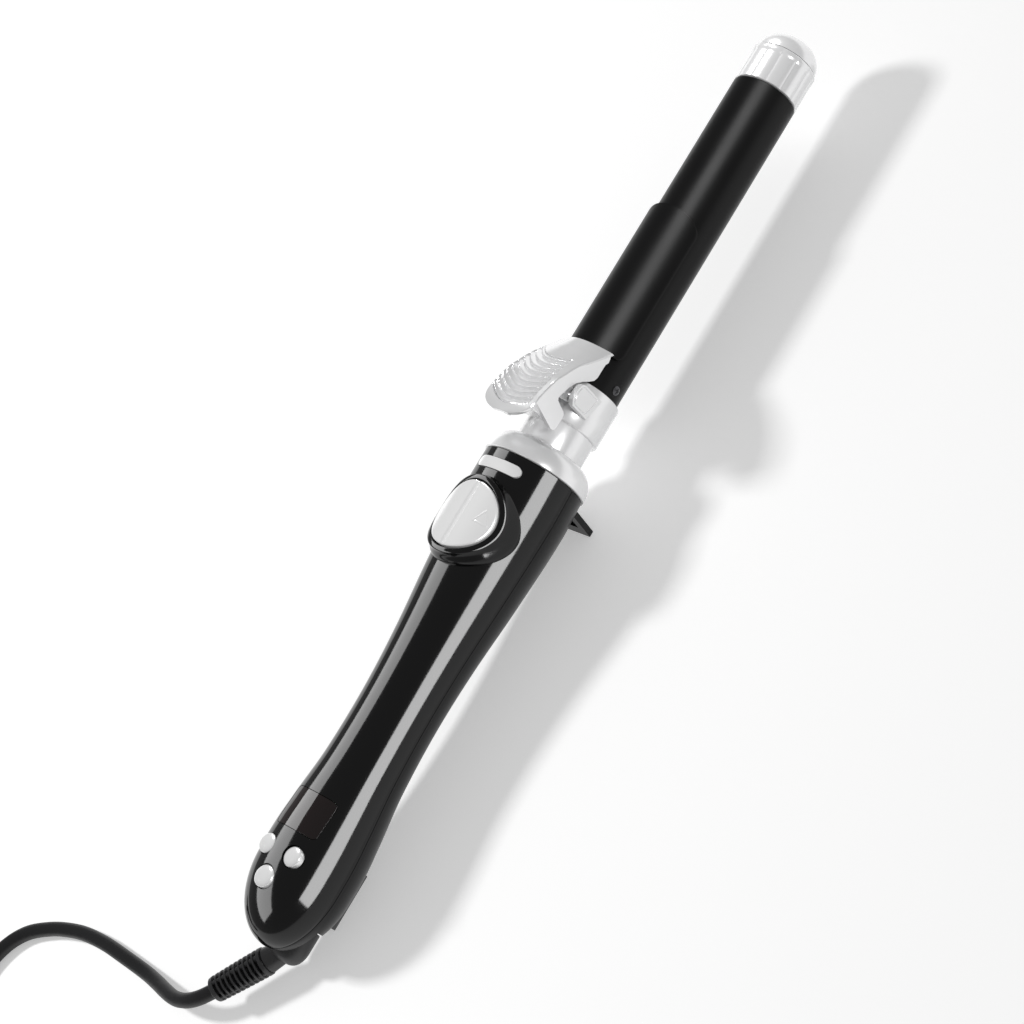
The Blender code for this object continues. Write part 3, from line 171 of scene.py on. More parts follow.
gloss_black = surface(
    "gloss black plastic", (0.002, 0.002, 0.0022), 0.10, specular=0.36, vary=0.02, bump=0.003)
satin_black = surface(
    "satin black plastic", (0.006, 0.006, 0.0065), 0.30, specular=0.26, vary=0.05, bump=0.02)
coated_black = surface(
    "ceramic coated metal", (0.0035, 0.0035, 0.0037), 0.36, specular=0.20, vary=0.05, bump=0.03, scale=420)
soft_black = surface(
    "soft black rubber", (0.012, 0.012, 0.0125), 0.52, specular=0.40, vary=0.08, bump=0.05, scale=420)
boot_black = surface(
    "moulded black boot", (0.022, 0.022, 0.023), 0.38, specular=0.55, vary=0.06, bump=0.03, scale=380)
cord_black = surface(
    "black cord jacket", (0.011, 0.011, 0.012), 0.46, specular=0.42, vary=0.08, bump=0.05, scale=380)
silver = surface(
    "satin silver plating", (0.84, 0.84, 0.845), 0.20, metallic=0.66, vary=0.05, tint=0.03, bump=0.006,
    stretch=(0.25, 1, 1))
bright_silver = surface(
    "light silver plating", (0.82, 0.82, 0.825), 0.24, metallic=0.50, vary=0.05, tint=0.02, bump=0.006)
button_silver = surface(
    "silver button", (0.84, 0.84, 0.84), 0.24, metallic=0.50, vary=0.04, tint=0.02, bump=0.006)
steel = surface("plain steel", (0.55, 0.55, 0.56), 0.33, metallic=1.0, tint=0.06, stretch=(1, 6, 1))
dark_steel = surface("blackened screw steel", (0.10, 0.10, 0.105), 0.36, metallic=0.9, tint=0.08)
brass = surface("brass", (0.72, 0.53, 0.24), 0.28, metallic=1.0, tint=0.08)
aluminium = surface("cast aluminium", (0.70, 0.71, 0.72), 0.38, metallic=1.0, tint=0.06, bump=0.03)
nylon = surface("white nylon", (0.80, 0.78, 0.71), 0.48, tint=0.05, bump=0.03)
ceramic = surface("heater ceramic", (0.78, 0.75, 0.68), 0.66, tint=0.06, bump=0.08)
board_green = surface("circuit board", (0.03, 0.18, 0.09), 0.42, tint=0.25, scale=900)
tinted = surface("tinted window", (0.012, 0.007, 0.007), 0.06, specular=0.40, vary=0.01, bump=0.0)


# ---------------------------------------------------------------- mesh tools
def to_mesh(points, faces):
    mesh = bpy.data.meshes.new("mesh")
    mesh.from_pydata([tuple(p) for p in points], [], faces)
    bm = bmesh.new()
    bm.from_mesh(mesh)
    bmesh.ops.remove_doubles(bm, verts=bm.verts, dist=0.0000005)
    bmesh.ops.recalc_face_normals(bm, faces=bm.faces)
    bm.to_mesh(mesh)
    bm.free()
    return mesh


def ring_faces(rings, sides, closed=False):
    """The faces between rings of points, and if closed also from the last ring to the first."""
    faces = []
    for i in range(rings if closed else rings - 1):
        j = (i + 1) % rings
        for k in range(sides):
            m = (k + 1) % sides
            faces.append((i * sides + k, i * sides + m, j * sides + m, j * sides + k))
    return faces


def lathe(profile, segments, direction=(1, 0, 0), at=(0, 0, 0), ring=False, radius=None):
    """A turned surface from (distance, radius) points; radius(distance, radius, angle) can shape it further."""
    points = []
    for d, r in profile:
        for k in range(segments):
            angle = 2 * math.pi * k / segments
            reach = radius(d, r, angle) if radius else r
            points.append((reach * math.cos(angle), reach * math.sin(angle), d))
    turn = Vector(direction).to_track_quat("Z", "Y").to_matrix().to_4x4()
    place = Matrix.Translation(at) @ turn
    return to_mesh([place @ Vector(p) for p in points], ring_faces(len(profile), segments, ring))


def sheet_solid(top, bottom):
    """A closed solid between two grids of points of the same size."""
    rows, columns = len(top), len(top[0])
    points = [p for row in top for p in row] + [p for row in bottom for p in row]
    base = rows * columns
    faces = []
    for i in range(rows - 1):
        for j in range(columns - 1):
            a, b = i * columns + j, (i + 1) * columns + j
            faces.append((a, b, b + 1, a + 1))
            faces.append((base + a, base + a + 1, base + b + 1, base + b))
    rim = [(i, 0) for i in range(rows)] + [(rows - 1, j) for j in range(1, columns)]
    rim += [(i, columns - 1) for i in range(rows - 2, -1, -1)] + [(0, j) for j in range(columns - 2, 0, -1)]
    for (i, j), (m, n) in zip(rim, rim[1:] + rim[:1]):
        a, b = i * columns + j, m * columns + n
        faces.append((a, base + a, base + b, b))
    return to_mesh(points, faces)


def prism(outline, thickness, at=(0, 0, 0), normal="Z"):
    turns = {
        "X": Matrix(((0, 0, 1), (1, 0, 0), (0, 1, 0))), "Y": Matrix(((1, 0, 0), (0, 0, -1), (0, 1, 0))),
        "Z": Matrix.Identity(3),
    }
    n = len(outline)
    points = [(a, b, -thickness / 2) for a, b in outline] + [(a, b, thickness / 2) for a, b in outline]
    faces = [tuple(range(n))[::-1], tuple(range(n, 2 * n))]
    faces += [(i, (i + 1) % n, n + (i + 1) % n, n + i) for i in range(n)]
    return to_mesh([Vector(at) + turns[normal] @ Vector(p) for p in points], faces)


def block(low, high):
    (x0, y0, z0), (x1, y1, z1) = low, high
    return prism(((x0, y0), (x1, y0), (x1, y1), (x0, y1)), z1 - z0, (0, 0, (z0 + z1) / 2))


def rounded(length, width, radius, steps=10):
    points = []
    for turn, (sx, sy) in enumerate(((1, 1), (-1, 1), (-1, -1), (1, -1))):
        for i in range(steps + 1):
            angle = math.pi / 2 * (turn + i / steps)
            x = sx * (length / 2 - radius) + radius * math.cos(angle)
            y = sy * (width / 2 - radius) + radius * math.sin(angle)
            points.append((x, y))
    return points


def shaped(base, *steps):
    """A mesh after (operation, mesh) Boolean steps."""
    obj = bpy.data.objects.new("shape", base)
    bpy.context.scene.collection.objects.link(obj)
    helpers = []
    for operation, mesh in steps:
        helper = bpy.data.objects.new("helper", mesh)
        bpy.context.scene.collection.objects.link(helper)
        helpers.append(helper)
        modifier = obj.modifiers.new(operation.lower(), "BOOLEAN")
        modifier.operation = operation
        modifier.solver = "EXACT"
        modifier.object = helper
    bpy.context.view_layer.update()
    mesh = bpy.data.meshes.new_from_object(obj.evaluated_get(bpy.context.evaluated_depsgraph_get()))
    mesh.materials.clear()
    for extra in [obj, *helpers]:
        bpy.data.objects.remove(extra)
    bm = bmesh.new()
    bm.from_mesh(mesh)
    bmesh.ops.remove_doubles(bm, verts=bm.verts, dist=0.000001)
    bm.to_mesh(mesh)
    bm.free()
    return mesh


def joined(*meshes):
    """Several meshes as one, with no Boolean: cutters, or a boot and its spines."""
    bm = bmesh.new()
    for mesh in meshes:
        bm.from_mesh(mesh)
    mesh = bpy.data.meshes.new("joined")
    bm.to_mesh(mesh)
    bm.free()
    return mesh


def add(name, mesh, material, body, replaces=(), bevel=0.0, angle=32, segments=3):
    """A finished piece: moved into the row frame, smoothed, and riding on its body."""
    mesh.transform(TO_ROW)
    mesh.materials.clear()
    mesh.materials.append(material)
    obj = bpy.data.objects.new(name, mesh)
    bpy.context.scene.collection.objects.link(obj)
    mesh.shade_smooth()
    mesh.set_sharp_from_angle(angle=math.radians(angle))
    if bevel:
        edge = obj.modifiers.new("bevel", "BEVEL")
        edge.width = bevel
        edge.segments = segments
        edge.limit_method = "ANGLE"
        edge.angle_limit = math.radians(angle)
        edge.harden_normals = False
    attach(obj, body)
    if replaces:
        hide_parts(*replaces)
    return obj


def smooth(points, share):
    place = share * (len(points) - 1)
    i = min(int(place), len(points) - 2)
    t = place - i
    p1, p2 = Vector(points[i]), Vector(points[i + 1])
    p0 = Vector(points[i - 1]) if i > 0 else 2 * p1 - p2
    p3 = Vector(points[i + 2]) if i + 2 < len(points) else 2 * p2 - p1
    return 0.5 * (
        2 * p1 + (p2 - p0) * t + (2 * p0 - 5 * p1 + 4 * p2 - p3) * t**2 + (3 * p1 - p0 - 3 * p2 + p3) * t**3
    )


def ease(value):
    value = min(max(value, 0.0), 1.0)
    return value * value * (3 - 2 * value)


# ---------------------------------------------------------------- cord
def coil_point(turns):
    """The cord in its coil: four rows inwards on the table, then four rows outwards on top of them."""
    inwards = sum(ease((turns - k - 0.60) / ROW_RAMP) for k in range(3))
    outwards = sum(ease((turns - k - 0.32) / ROW_RAMP) for k in (4, 5, 6))
    radius = COIL_RADIUS - CORD_DIAMETER * (inwards - outwards)
    layer = ease((turns - 3.44) / 0.40)
    angle = COIL_START - 2 * math.pi * turns
    return COIL_CENTRE + Vector((
        radius * math.cos(angle), radius * math.sin(angle), TABLE_Z + CORD_DIAMETER * (0.5 + layer)
    ))


def cord_line():
    leave = ELBOW + CORD_DIRECTION * (RELIEF_END - 0.0002)
    route = [leave, leave + CORD_DIRECTION * 0.0020] + [Vector(p) for p in CORD_ROUTE]
    line = [smooth(route, i / 160) for i in range(160)]
    line += [coil_point(i / 44) for i in range(COIL_TURNS * 44 + 1)]
    last = line[-1]
    gap = TAIL_END - last
    for i in range(1, 19):
        s = i / 18
        line.append(last + Vector((gap.x * s, gap.y * ease(s), gap.z * ease(s))))
    return line


def tube(line, radius, sides=16):
    """A round solid along a line, carried along without twist."""
    points = []
    side = Vector((0, 0, 1))
    for i, centre in enumerate(line):
        ahead = (line[min(i + 1, len(line) - 1)] - line[max(i - 1, 0)]).normalized()
        side = (side - ahead * side.dot(ahead)).normalized()
        other = ahead.cross(side)
        for k in range(sides):
            angle = 2 * math.pi * k / sides
            points.append(centre + radius * (math.cos(angle) * side + math.sin(angle) * other))
    faces = ring_faces(len(line), sides)
    last = (len(line) - 1) * sides
    faces.append(tuple(range(sides)))
    faces.append(tuple(range(last, last + sides)))
    return to_mesh(points, faces)


line = cord_line()
cord_mesh = tube(line, CORD_DIAMETER / 2)
cord_mesh.transform(TO_ROW)
cord_mesh.materials.append(cord_black)
cord_mesh.shade_smooth()
cord = bpy.data.objects.new("cord", cord_mesh)
bpy.context.scene.collection.objects.link(cord)
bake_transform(cord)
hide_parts("cord_tube", "cord_coil", "cord_tail")


def plug_section(share):
    """Half width, half height of the plug's body from the cord end to the face."""
    stations = (
        (0.0, 0.0042, 0.0036), (0.08, 0.0058, 0.0050), (0.36, 0.0074, 0.0060), (0.55, 0.0120, PLUG_HALF_HEIGHT),
        (0.70, 0.0172, PLUG_HALF_HEIGHT), (1.0, 0.0176, PLUG_HALF_HEIGHT),
    )
    for (s0, w0, h0), (s1, w1, h1) in zip(stations, stations[1:]):
        if share <= s1:
            t = ease((share - s0) / (s1 - s0))
            return w0 + (w1 - w0) * t, h0 + (h1 - h0) * t
    return stations[-1][1:]


def plug():
    """The moulded body, then two pins, each with a black sleeve at its root."""
    start, middle = TAIL_END.x - GAP, TABLE_Z + PLUG_HALF_HEIGHT
    face = start - PLUG_LENGTH
    points, rings, sides = [], 48, 48
    for i in range(rings + 1):
        share = i / rings
        half, height = plug_section(share)
        shrink = 1 - 0.06 * max(0.0, (share - 0.96) / 0.04) ** 2
        for k in range(sides):
            angle = 2 * math.pi * k / sides
            c, s = math.cos(angle), math.sin(angle)
            y = half * shrink * math.copysign(abs(c) ** 0.55, c)
            z = height * shrink * math.copysign(abs(s) ** 0.55, s)
            points.append((start - PLUG_LENGTH * share, TAIL_END.y + y, middle + z))
    faces = ring_faces(rings + 1, sides)
    faces.append(tuple(range(sides)))
    faces.append(tuple(range(rings * sides, (rings + 1) * sides)))
    moulding = to_mesh(points, faces)
    pieces = [add("plug_moulding", moulding, soft_black, "handle", ["plug_body"])]
    sleeve = ((0.0, 0.0), (0.0, 0.0020), (0.0095, 0.0020), (0.0097, 0.0018), (0.0097, 0))
    metal = ((0.0090, 0.0), (0.0090, 0.0019), (0.0182, 0.0019), (0.0190, 0.0015), (0.0193, 0.0007), (0.0193, 0))
    for name, side in (("plug_pin_left", 1), ("plug_pin_right", -1)):
        y = TAIL_END.y + side * PIN_SPREAD
        root = lathe(sleeve, 32, (-1, 0, 0), (face + 0.0004, y, middle))
        pieces.append(add(name + "_sleeve", root, soft_black, "handle"))
        pin = lathe(metal, 32, (-1, 0, 0), (face, y, middle))
        pieces.append(add(name + "_metal", pin, steel, "handle", [name]))
    return pieces


plug_pieces = plug()


def coil_tie():
    """A flat band round the coil's turns: a closed ring with softened edges, kept off the table."""
    half_span, half_height, half_width, thickness = 0.0121, 0.0056, 0.0030, 0.0006
    place = math.radians(40)
    middle = COIL_CENTRE + Vector((0.0318 * math.cos(place), 0.0318 * math.sin(place), TABLE_Z + 0.0055))
    outwards = Vector((math.cos(place), math.sin(place), 0))
    sideways = Vector((-math.sin(place), math.cos(place), 0))
    outer = (thickness, 0.00005, (-half_width, -0.0026, 0.0026, half_width))
    inner = (0, 0.00045, (half_width, -half_width))
    points, steps = [], 48
    for i in range(steps):
        angle = 2 * math.pi * i / steps
        c, s = math.cos(angle), math.sin(angle)
        a = half_span * math.copysign(abs(c) ** 0.35, c)
        b = half_height * math.copysign(abs(s) ** 0.45, s)
        for grow, lowest, offsets in (outer, inner):
            for w in offsets:
                p = middle + outwards * (a * (1 + grow / half_span)) + sideways * w
                softened = 0.0001 if grow and abs(w) > 0.0028 else 0
                z = p.z + b * (1 + grow / half_height) + 0.0002 - softened
                points.append((p.x, p.y, max(z, TABLE_Z + lowest)))
    mesh = to_mesh(points, ring_faces(steps, 6, closed=True))
    return add("coil_tie", mesh, soft_black, "handle")


tie = coil_tie()


# ---------------------------------------------------------------- swivel and strain relief
def swivel_elbow():
    """The round-ended elbow that turns in its socket, and the neck that carries the strain relief."""
    back, root = SWIVEL_FACE + 0.0073, SWIVEL_FACE - GAP
    profile = [
        (back, 0), (back, 0.0040), (SWIVEL_FACE + 0.0061, 0.0040), (SWIVEL_FACE + 0.0061, 0.0026),
        (root, 0.0026), (root, SWIVEL_RADIUS - 0.0003), (root - 0.0003, SWIVEL_RADIUS),
    ]
    for i in range(13):
        angle = math.pi / 2 * i / 12
        profile.append((ELBOW.x + 0.0020 - 0.0070 * math.sin(angle), SWIVEL_RADIUS * math.cos(angle) ** 0.60))
    elbow = lathe(profile, 64, at=(0, 0, -SWIVEL_DROP))
    neck_profile = (
        (0, 0), (0, 0.0040), (0.0030, 0.0040), (0.0062, 0.0044), (RELIEF_START - 0.0004, 0.0047),
        (RELIEF_START, 0.0045), (RELIEF_START, 0),
    )
    neck = lathe(neck_profile, 64, CORD_DIRECTION, ELBOW)
    return add("swivel_elbow_body", shaped(elbow, ("UNION", neck)), boot_black, "cord_swivel", ["swivel_elbow"])


elbow_piece = swivel_elbow()


def relief():
    """A slotted boot: ribs of one outline, a thinner core between them and four spines that join them."""
    profile, ribs = [(RELIEF_START, 0), (RELIEF_START, 0.0048), (RELIEF_START + 0.0003, 0.0051)], 10
    first, last = RELIEF_START + 0.0016, RELIEF_END - 0.0010
    pitch, slot_share, taper, soft = (last - first) / ribs, 0.56, 0.0006, 0.00014
    for i in range(ribs):
        x = first + pitch * i
        slot_end = x + pitch * slot_share
        outer = RELIEF_RADIUS - taper * ((x - RELIEF_START) / (RELIEF_END - RELIEF_START)) ** 1.5
        profile += [(x - soft, outer), (x, outer - soft), (x, RELIEF_CORE)]
        profile += [(slot_end, RELIEF_CORE), (slot_end, outer - soft), (slot_end + soft, outer)]
    profile += [(RELIEF_END - 0.0003, 0.0045), (RELIEF_END, 0.0042), (RELIEF_END, 0.0029), (RELIEF_END, 0)]
    body = lathe(profile, 64, CORD_DIRECTION, ELBOW)
    start, end, out = RELIEF_START + 0.0008, RELIEF_END - 0.0008, 0.0039
    rod = ((start, 0), (start, 0.0011), (end, 0.0007), (end, 0))
    side = Vector((-CORD_DIRECTION.y, CORD_DIRECTION.x, 0))
    spines = []
    for k in range(4):
        angle = math.radians(2 + 90 * k)
        centre = ELBOW + side * out * math.cos(angle) + Vector((0, 0, out * math.sin(angle)))
        spines.append(lathe(rod, 12, CORD_DIRECTION, centre))
    return add("strain_relief_boot", joined(body, *spines), boot_black, "cord_swivel", ["strain_relief"])


relief_piece = relief()


# ---------------------------------------------------------------- handle
def centre_z(x):
    return HANDLE_DROP * x


def handle_radius(x):
    depth, grip = -x, HANDLE_LENGTH - BUTT_LENGTH
    if depth > grip:
        return GRIP_OUTLINE[-1][1] * math.sqrt(max(0.0, 1 - ((depth - grip) / BUTT_LENGTH) ** 2))
    share = min(max(depth / grip, 0), 1)
    shares = [s for s, _ in GRIP_OUTLINE]
    i = max(k for k in range(len(shares) - 1) if shares[k] <= share)
    local = (share - shares[i]) / (shares[i + 1] - shares[i])
    radii = [Vector((r, 0, 0)) for _, r in GRIP_OUTLINE]
    return smooth(radii, (i + local) / (len(radii) - 1)).x


def handle_stations(first=0.0):
    grip = HANDLE_LENGTH - BUTT_LENGTH
    stations = [first - (grip + first) * i / 80 for i in range(81)]
    stations += [-grip - BUTT_LENGTH * math.sin(math.pi / 2 * i / 36) for i in range(1, 37)]
    return stations


def half_shell(upper, grow=0.0, wall=HANDLE_WALL, steps=96):
    """One half of the handle as a closed shell, its edges just clear of the parting plane."""
    sign = 1 if upper else -1
    outer, inner = [], []
    for x in handle_stations():
        r = handle_radius(x)
        radius = max(r + grow, 0.00005)
        clear = math.asin(min(1.0, 0.00016 / max(radius, 0.00032)))
        row, under = [], []
        for k in range(steps + 1):
            angle = clear + (math.pi - 2 * clear) * k / steps
            c, s = math.cos(angle), math.sin(angle)
            soften = 0.00012 * max(0.0, 1 - min(k, steps - k) / 1.5)
            row.append((x, (radius - soften) * c, centre_z(x) + sign * (radius - soften) * s))
            thin = max(r - wall, 0.00002)
            inset = x + wall * max(0.0, (-x - (HANDLE_LENGTH - BUTT_LENGTH)) / BUTT_LENGTH)
            under.append((inset, thin * c, centre_z(x) + sign * max(thin * s, 0.00016 * min(1, thin / 0.001))))
        outer.append(row)
        inner.append(under)
    return sheet_solid(outer, inner)


def surface_z(x, y):
    return centre_z(x) + math.sqrt(handle_radius(x) ** 2 - y**2)


def drum(x, y, radius, low=0.004, high=0.030, segments=96):
    return lathe(((low, 0), (low, radius), (high, radius), (high, 0)), segments, (0, 0, 1), (x, y, 0))


def window_block(corner, clearance=0.0):
    outline = rounded(WINDOW_LENGTH + clearance, WINDOW_WIDTH + clearance, corner)
    return prism(outline, 0.030, (WINDOW_X, 0, 0.0180))


def trim_block(corner, clearance=0.0):
    outline = rounded(TRIM_LENGTH + clearance, TRIM_WIDTH + clearance, corner)
    return prism(outline, 0.030, (TRIM_X, 0, 0.0240))


window_hole = window_block(0.0020, clearance=0.0004)
trim_hole = trim_block(TRIM_LENGTH / 2 + 0.00024, clearance=0.0005)
holes = [drum(ROCKER_X, 0, ROCKER_RADIUS + 0.0009, 0.002), window_hole, trim_hole]
holes += [drum(x, y, radius + 0.0003) for _, x, y, radius in BUTTONS]
front = shaped(half_shell(True), ("DIFFERENCE", joined(*holes)))
add("front_shell_skin", front, gloss_black, "handle", ["front_shell"], angle=28)

# rear shell, with the stand's pocket and the notch for the swivel
STAND_X, STAND_Z, STAND_HALF, KNUCKLE, LEG = -0.0036, -0.0120, 0.0120, 0.0022, 0.0023
REACH = (REST_HEIGHT + STAND_Z) / math.cos(math.radians(5)) + 0.0002


def pocket(wall):
    """The space that the stand folds into, grown by a wall: deep round its knuckle, shallow along its leg."""
    near = min(STAND_X + KNUCKLE + 0.0004 + wall, -GAP)
    knuckle_end = STAND_X - KNUCKLE - 0.0004 - wall
    far = STAND_X - REACH - 0.0008 - wall
    deep, shallow = STAND_Z + KNUCKLE + 0.0004 + wall, STAND_Z + KNUCKLE - LEG + 0.0006 + wall
    outline = (
        (near, -0.040), (near, deep), (knuckle_end, deep), (knuckle_end, shallow), (far, shallow),
        (far, -0.040),
    )
    return prism(outline, 2 * (STAND_HALF + 0.0004 + wall), (0, 0, 0), "Y")


ceiling = -SWIVEL_DROP + SWIVEL_RADIUS + 0.0006
notch = block((-0.200, -0.030, -0.040), (SWIVEL_FACE, 0.030, ceiling))


def screw_hole(x, shank=0.0014, head=0.0029):
    """A counterbore up to just inside the shell's skin, and the screw's own hole beyond it."""
    seat = centre_z(x) - handle_radius(x) + 0.0013
    profile = ((-0.030, 0), (-0.030, head), (seat, head), (seat, shank), (-0.012, shank), (-0.012, 0))
    return lathe(profile, 40, (0, 0, 1), (x, 0, 0))


screw_holes = [screw_hole(x) for x in (-0.0700, -0.1180)]
rear = shaped(half_shell(False), ("DIFFERENCE", joined(pocket(0), notch, *screw_holes)))
add("rear_shell_skin", rear, satin_black, "handle", ["rear_shell"], angle=28)


def handle_solid(inset):
    profile = [(-0.0004, 0)]
    for x in handle_stations(-0.0004):
        profile.append((x, max(handle_radius(x) - inset, 0.0)))
    mesh = lathe(profile, 64)
    mesh.transform(LEAN)
    return mesh


liner = shaped(pocket(0.0011), ("INTERSECT", handle_solid(0.0003)), ("DIFFERENCE", pocket(0)))
add("stand_pocket_liner", liner, satin_black, "handle")
bulkhead = block((-0.183, -0.030, -0.040), (SWIVEL_FACE + 0.0055, 0.030, ceiling + 0.0015))
swivel_bore = lathe(((-0.20, 0), (-0.20, 0.0050), (-0.1640, 0.0050), (-0.1640, 0)), 48, at=(0, 0, -SWIVEL_DROP))
bulkhead = shaped(
    bulkhead, ("INTERSECT", handle_solid(0.0003)), ("DIFFERENCE", notch), ("DIFFERENCE", swivel_bore))
add("swivel_bulkhead", bulkhead, satin_black, "handle")

trim = shaped(half_shell(True, 0.00045), ("INTERSECT", trim_block(TRIM_LENGTH / 2 - 0.00001)))
add("trim_bar_skin", trim, button_silver, "handle", ["trim_bar"], bevel=0.00035, angle=40)
window = shaped(half_shell(True, -0.00008), ("INTERSECT", window_block(0.0018)))
add("display_window_skin", window, tinted, "handle", ["display_window"], bevel=0.00012, angle=40)


def saddle(profile, segments, crown, at_x, mark=None):
    """A turned piece on the handle's front whose heights follow a cylinder about the barrel's axis."""
    points = []
    for r, h in profile:
        for k in range(segments):
            angle = 2 * math.pi * k / segments
            x, y = r * math.cos(angle), r * math.sin(angle)
            lift = mark(x, y) if mark else 0
            points.append((at_x + x, y, math.sqrt(crown**2 - y**2) + h + lift))
    return points, ring_faces(len(profile), segments)


def bezel():
    inner, outer = ROCKER_RADIUS + 0.0005, 0.0154
    profile = [(inner, -0.0040), (inner, -0.0004), (inner + 0.00012, -0.00012), (inner + 0.0004, 0)]
    profile += [(outer - 0.0005, 0), (outer - 0.0002, -0.0001), (outer, -0.0004)]
    for i in range(1, 11):
        s = i / 10
        profile.append((outer + 0.0020 * ease(s * 0.9), -0.0004 - 0.0042 * s))
    profile += [(outer + 0.0018, -0.0064), (inner, -0.0064), (inner, -0.0040)]
    mesh = to_mesh(*saddle(profile, 160, BEZEL_CROWN, ROCKER_X))
    add("rocker_bezel_skin", mesh, gloss_black, "handle", ["rocker_bezel"], angle=50)


bezel()


def rocker_mark(x, y):
    """The groove along the middle and a plain triangle on one half."""
    groove = -0.00050 * (1 - ease((abs(y) - 0.00030) / 0.00095))
    px, py = x - 0.0006, y + 0.0088
    edges = (px + 0.0016, 0.0019 - px * 0.50 - abs(py) * 0.95)
    inside = min(edges)
    ridge = 0.00014 * (1 - ease((abs(inside - 0.00018) - 0.00008) / 0.00014))
    return groove + ridge


def rocker():
    rim, segments = ROCKER_RADIUS, 200
    profile = [(rim * i / 90, 0) for i in range(86)]
    profile += [(rim - 0.00055, 0), (rim - 0.00030, -0.00004), (rim - 0.00012, -0.00014)]
    profile += [(rim, -0.0004), (rim, -0.0032)]
    points, faces = saddle(profile, segments, ROCKER_CROWN, ROCKER_X, rocker_mark)
    last = (len(profile) - 1) * segments
    faces.append(tuple(range(last, last + segments)))
    add("rocker_skin", to_mesh(points, faces), button_silver, "rocker", ["rocker_button"], angle=60)


rocker()

for name, x, y, radius in BUTTONS:
    top = surface_z(x, y) + 0.0011
    profile = [(top, 0)]
    for i in range(1, 25):
        angle = math.pi / 2 * i / 24
        profile.append((top - 0.0012 * (1 - math.cos(angle)), radius * math.sin(angle) ** 0.8))
    profile += [(top - 0.0030, radius), (top - 0.0030, 0.0016), (0.0086, 0.0016), (0.0086, 0)]
    button = lathe(profile, 64, (0, 0, 1), (x, y, 0))
    add(name + "_button_skin", button, button_silver, name, [name + "_button"], angle=50)


# ---------------------------------------------------------------- end collar and barrel base
def end_collar():
    outer = [(GAP, 0.0194), (0.0006, 0.0198)]
    for i in range(25):
        angle = math.pi / 2 * i / 24
        outer.append((0.0010 + 0.0087 * math.sin(angle), 0.0136 + 0.0062 * math.cos(angle)))
    inner = [
        (0.0097, 0.0131), (0.0084, 0.0131), (0.0084, 0.0148), (0.0023, 0.0148), (0.0023, 0.0187), (GAP, 0.0187),
    ]
    collar = lathe(outer + inner, 160, ring=True)
    add("end_collar_skin", collar, bright_silver, "handle", ["end_collar"], angle=40)


end_collar()


def barrel_base():
    """The collar at the barrel's root, the neck in the handle's collar and the narrow shaft behind it."""
    start, end, radius = BASE_COLLAR_START, BASE_COLLAR_END, BASE_COLLAR_RADIUS
    shaft, shaft_bore, neck_bore, tube_bore = 0.0048, 0.0030, 0.0085, 0.0128
    profile = [
        (end, tube_bore), (end, radius - 0.0006), (end - 0.0002, radius - 0.0002), (end - 0.0007, radius),
        (start + 0.0005, radius), (start + 0.0001, radius - 0.0003), (start, radius - 0.0007),
        (start, NECK_RADIUS + 0.0002), (start - 0.0003, NECK_RADIUS), (0.0006, NECK_RADIUS), (0.0006, shaft),
        (-0.0120, shaft), (-0.0120, shaft_bore), (0.0030, shaft_bore), (0.0030, neck_bore), (0.0223, neck_bore),
        (0.0223, tube_bore),
    ]
    add("barrel_base_skin", lathe(profile, 160, ring=True), bright_silver, "barrel", ["barrel_base"], angle=40)


barrel_base()


def ear_outline(shrink=0.0):
    """An arched plate whose middle is a little below the hinge's axis and nearer the tip."""
    half, top = 0.0044 - shrink, 0.0034 - shrink
    middle_x, middle_z = HINGE_X + 0.0007, HINGE_Z - 0.0012
    points = [(middle_x + half, 0.0050 + 2.2 * shrink)]
    for i in range(33):
        angle = math.pi * i / 32
        c, s = math.cos(angle), math.sin(angle)
        points.append((middle_x + half * math.copysign(abs(c) ** 0.8, c), middle_z + top * abs(s) ** 0.8))
    points.append((middle_x - half, 0.0074 + 2.2 * shrink))
    return points


for side, label in ((1, "left"), (-1, "right")):
    ear = prism(ear_outline(), 0.0034, (0, side * 0.0124, 0), "Y")
    panel = prism(ear_outline(0.0008), 0.0010, (0, side * 0.0143, 0), "Y")
    raised = prism(ear_outline(0.0011), 0.0006, (0, side * 0.0139, 0), "Y")
    between_ears = block((0.020, -0.0119, 0.005), (0.035, 0.0119, 0.022))
    ear = shaped(ear, ("DIFFERENCE", panel), ("DIFFERENCE", between_ears))
    add(f"ear_{label}", ear, bright_silver, "barrel", bevel=0.00022, angle=40)
    add(f"ear_panel_{label}", raised, bright_silver, "barrel", bevel=0.00020, angle=40)


# ---------------------------------------------------------------- barrel and tip
TUBE_START, TUBE_INNER = 0.0226, 0.0113
barrel_profile = [
    (TUBE_START, TUBE_INNER), (TUBE_START, BARREL_RADIUS), (BARREL_END - 0.0003, BARREL_RADIUS),
    (BARREL_END, BARREL_RADIUS - 0.0003), (BARREL_END, TUBE_INNER),
]
barrel_tube = lathe(barrel_profile, 160, ring=True)
add("barrel_tube_skin", barrel_tube, coated_black, "barrel", ["barrel_tube"], angle=40)

FLUTES = 12


def flute(d, r, angle):
    """Shallow grooves along the tip sleeve's outer wall, fading out at both of its ends."""
    if r < 0.0118 or d < BARREL_END + 0.0002:
        return r
    fade = min(ease((d - BARREL_END - 0.0002) / 0.0008), ease((BARREL_END + 0.0148 - d) / 0.0012))
    wave = abs(math.sin(angle * FLUTES / 2)) ** 0.8
    return r - 0.00038 * fade * (1 - wave)


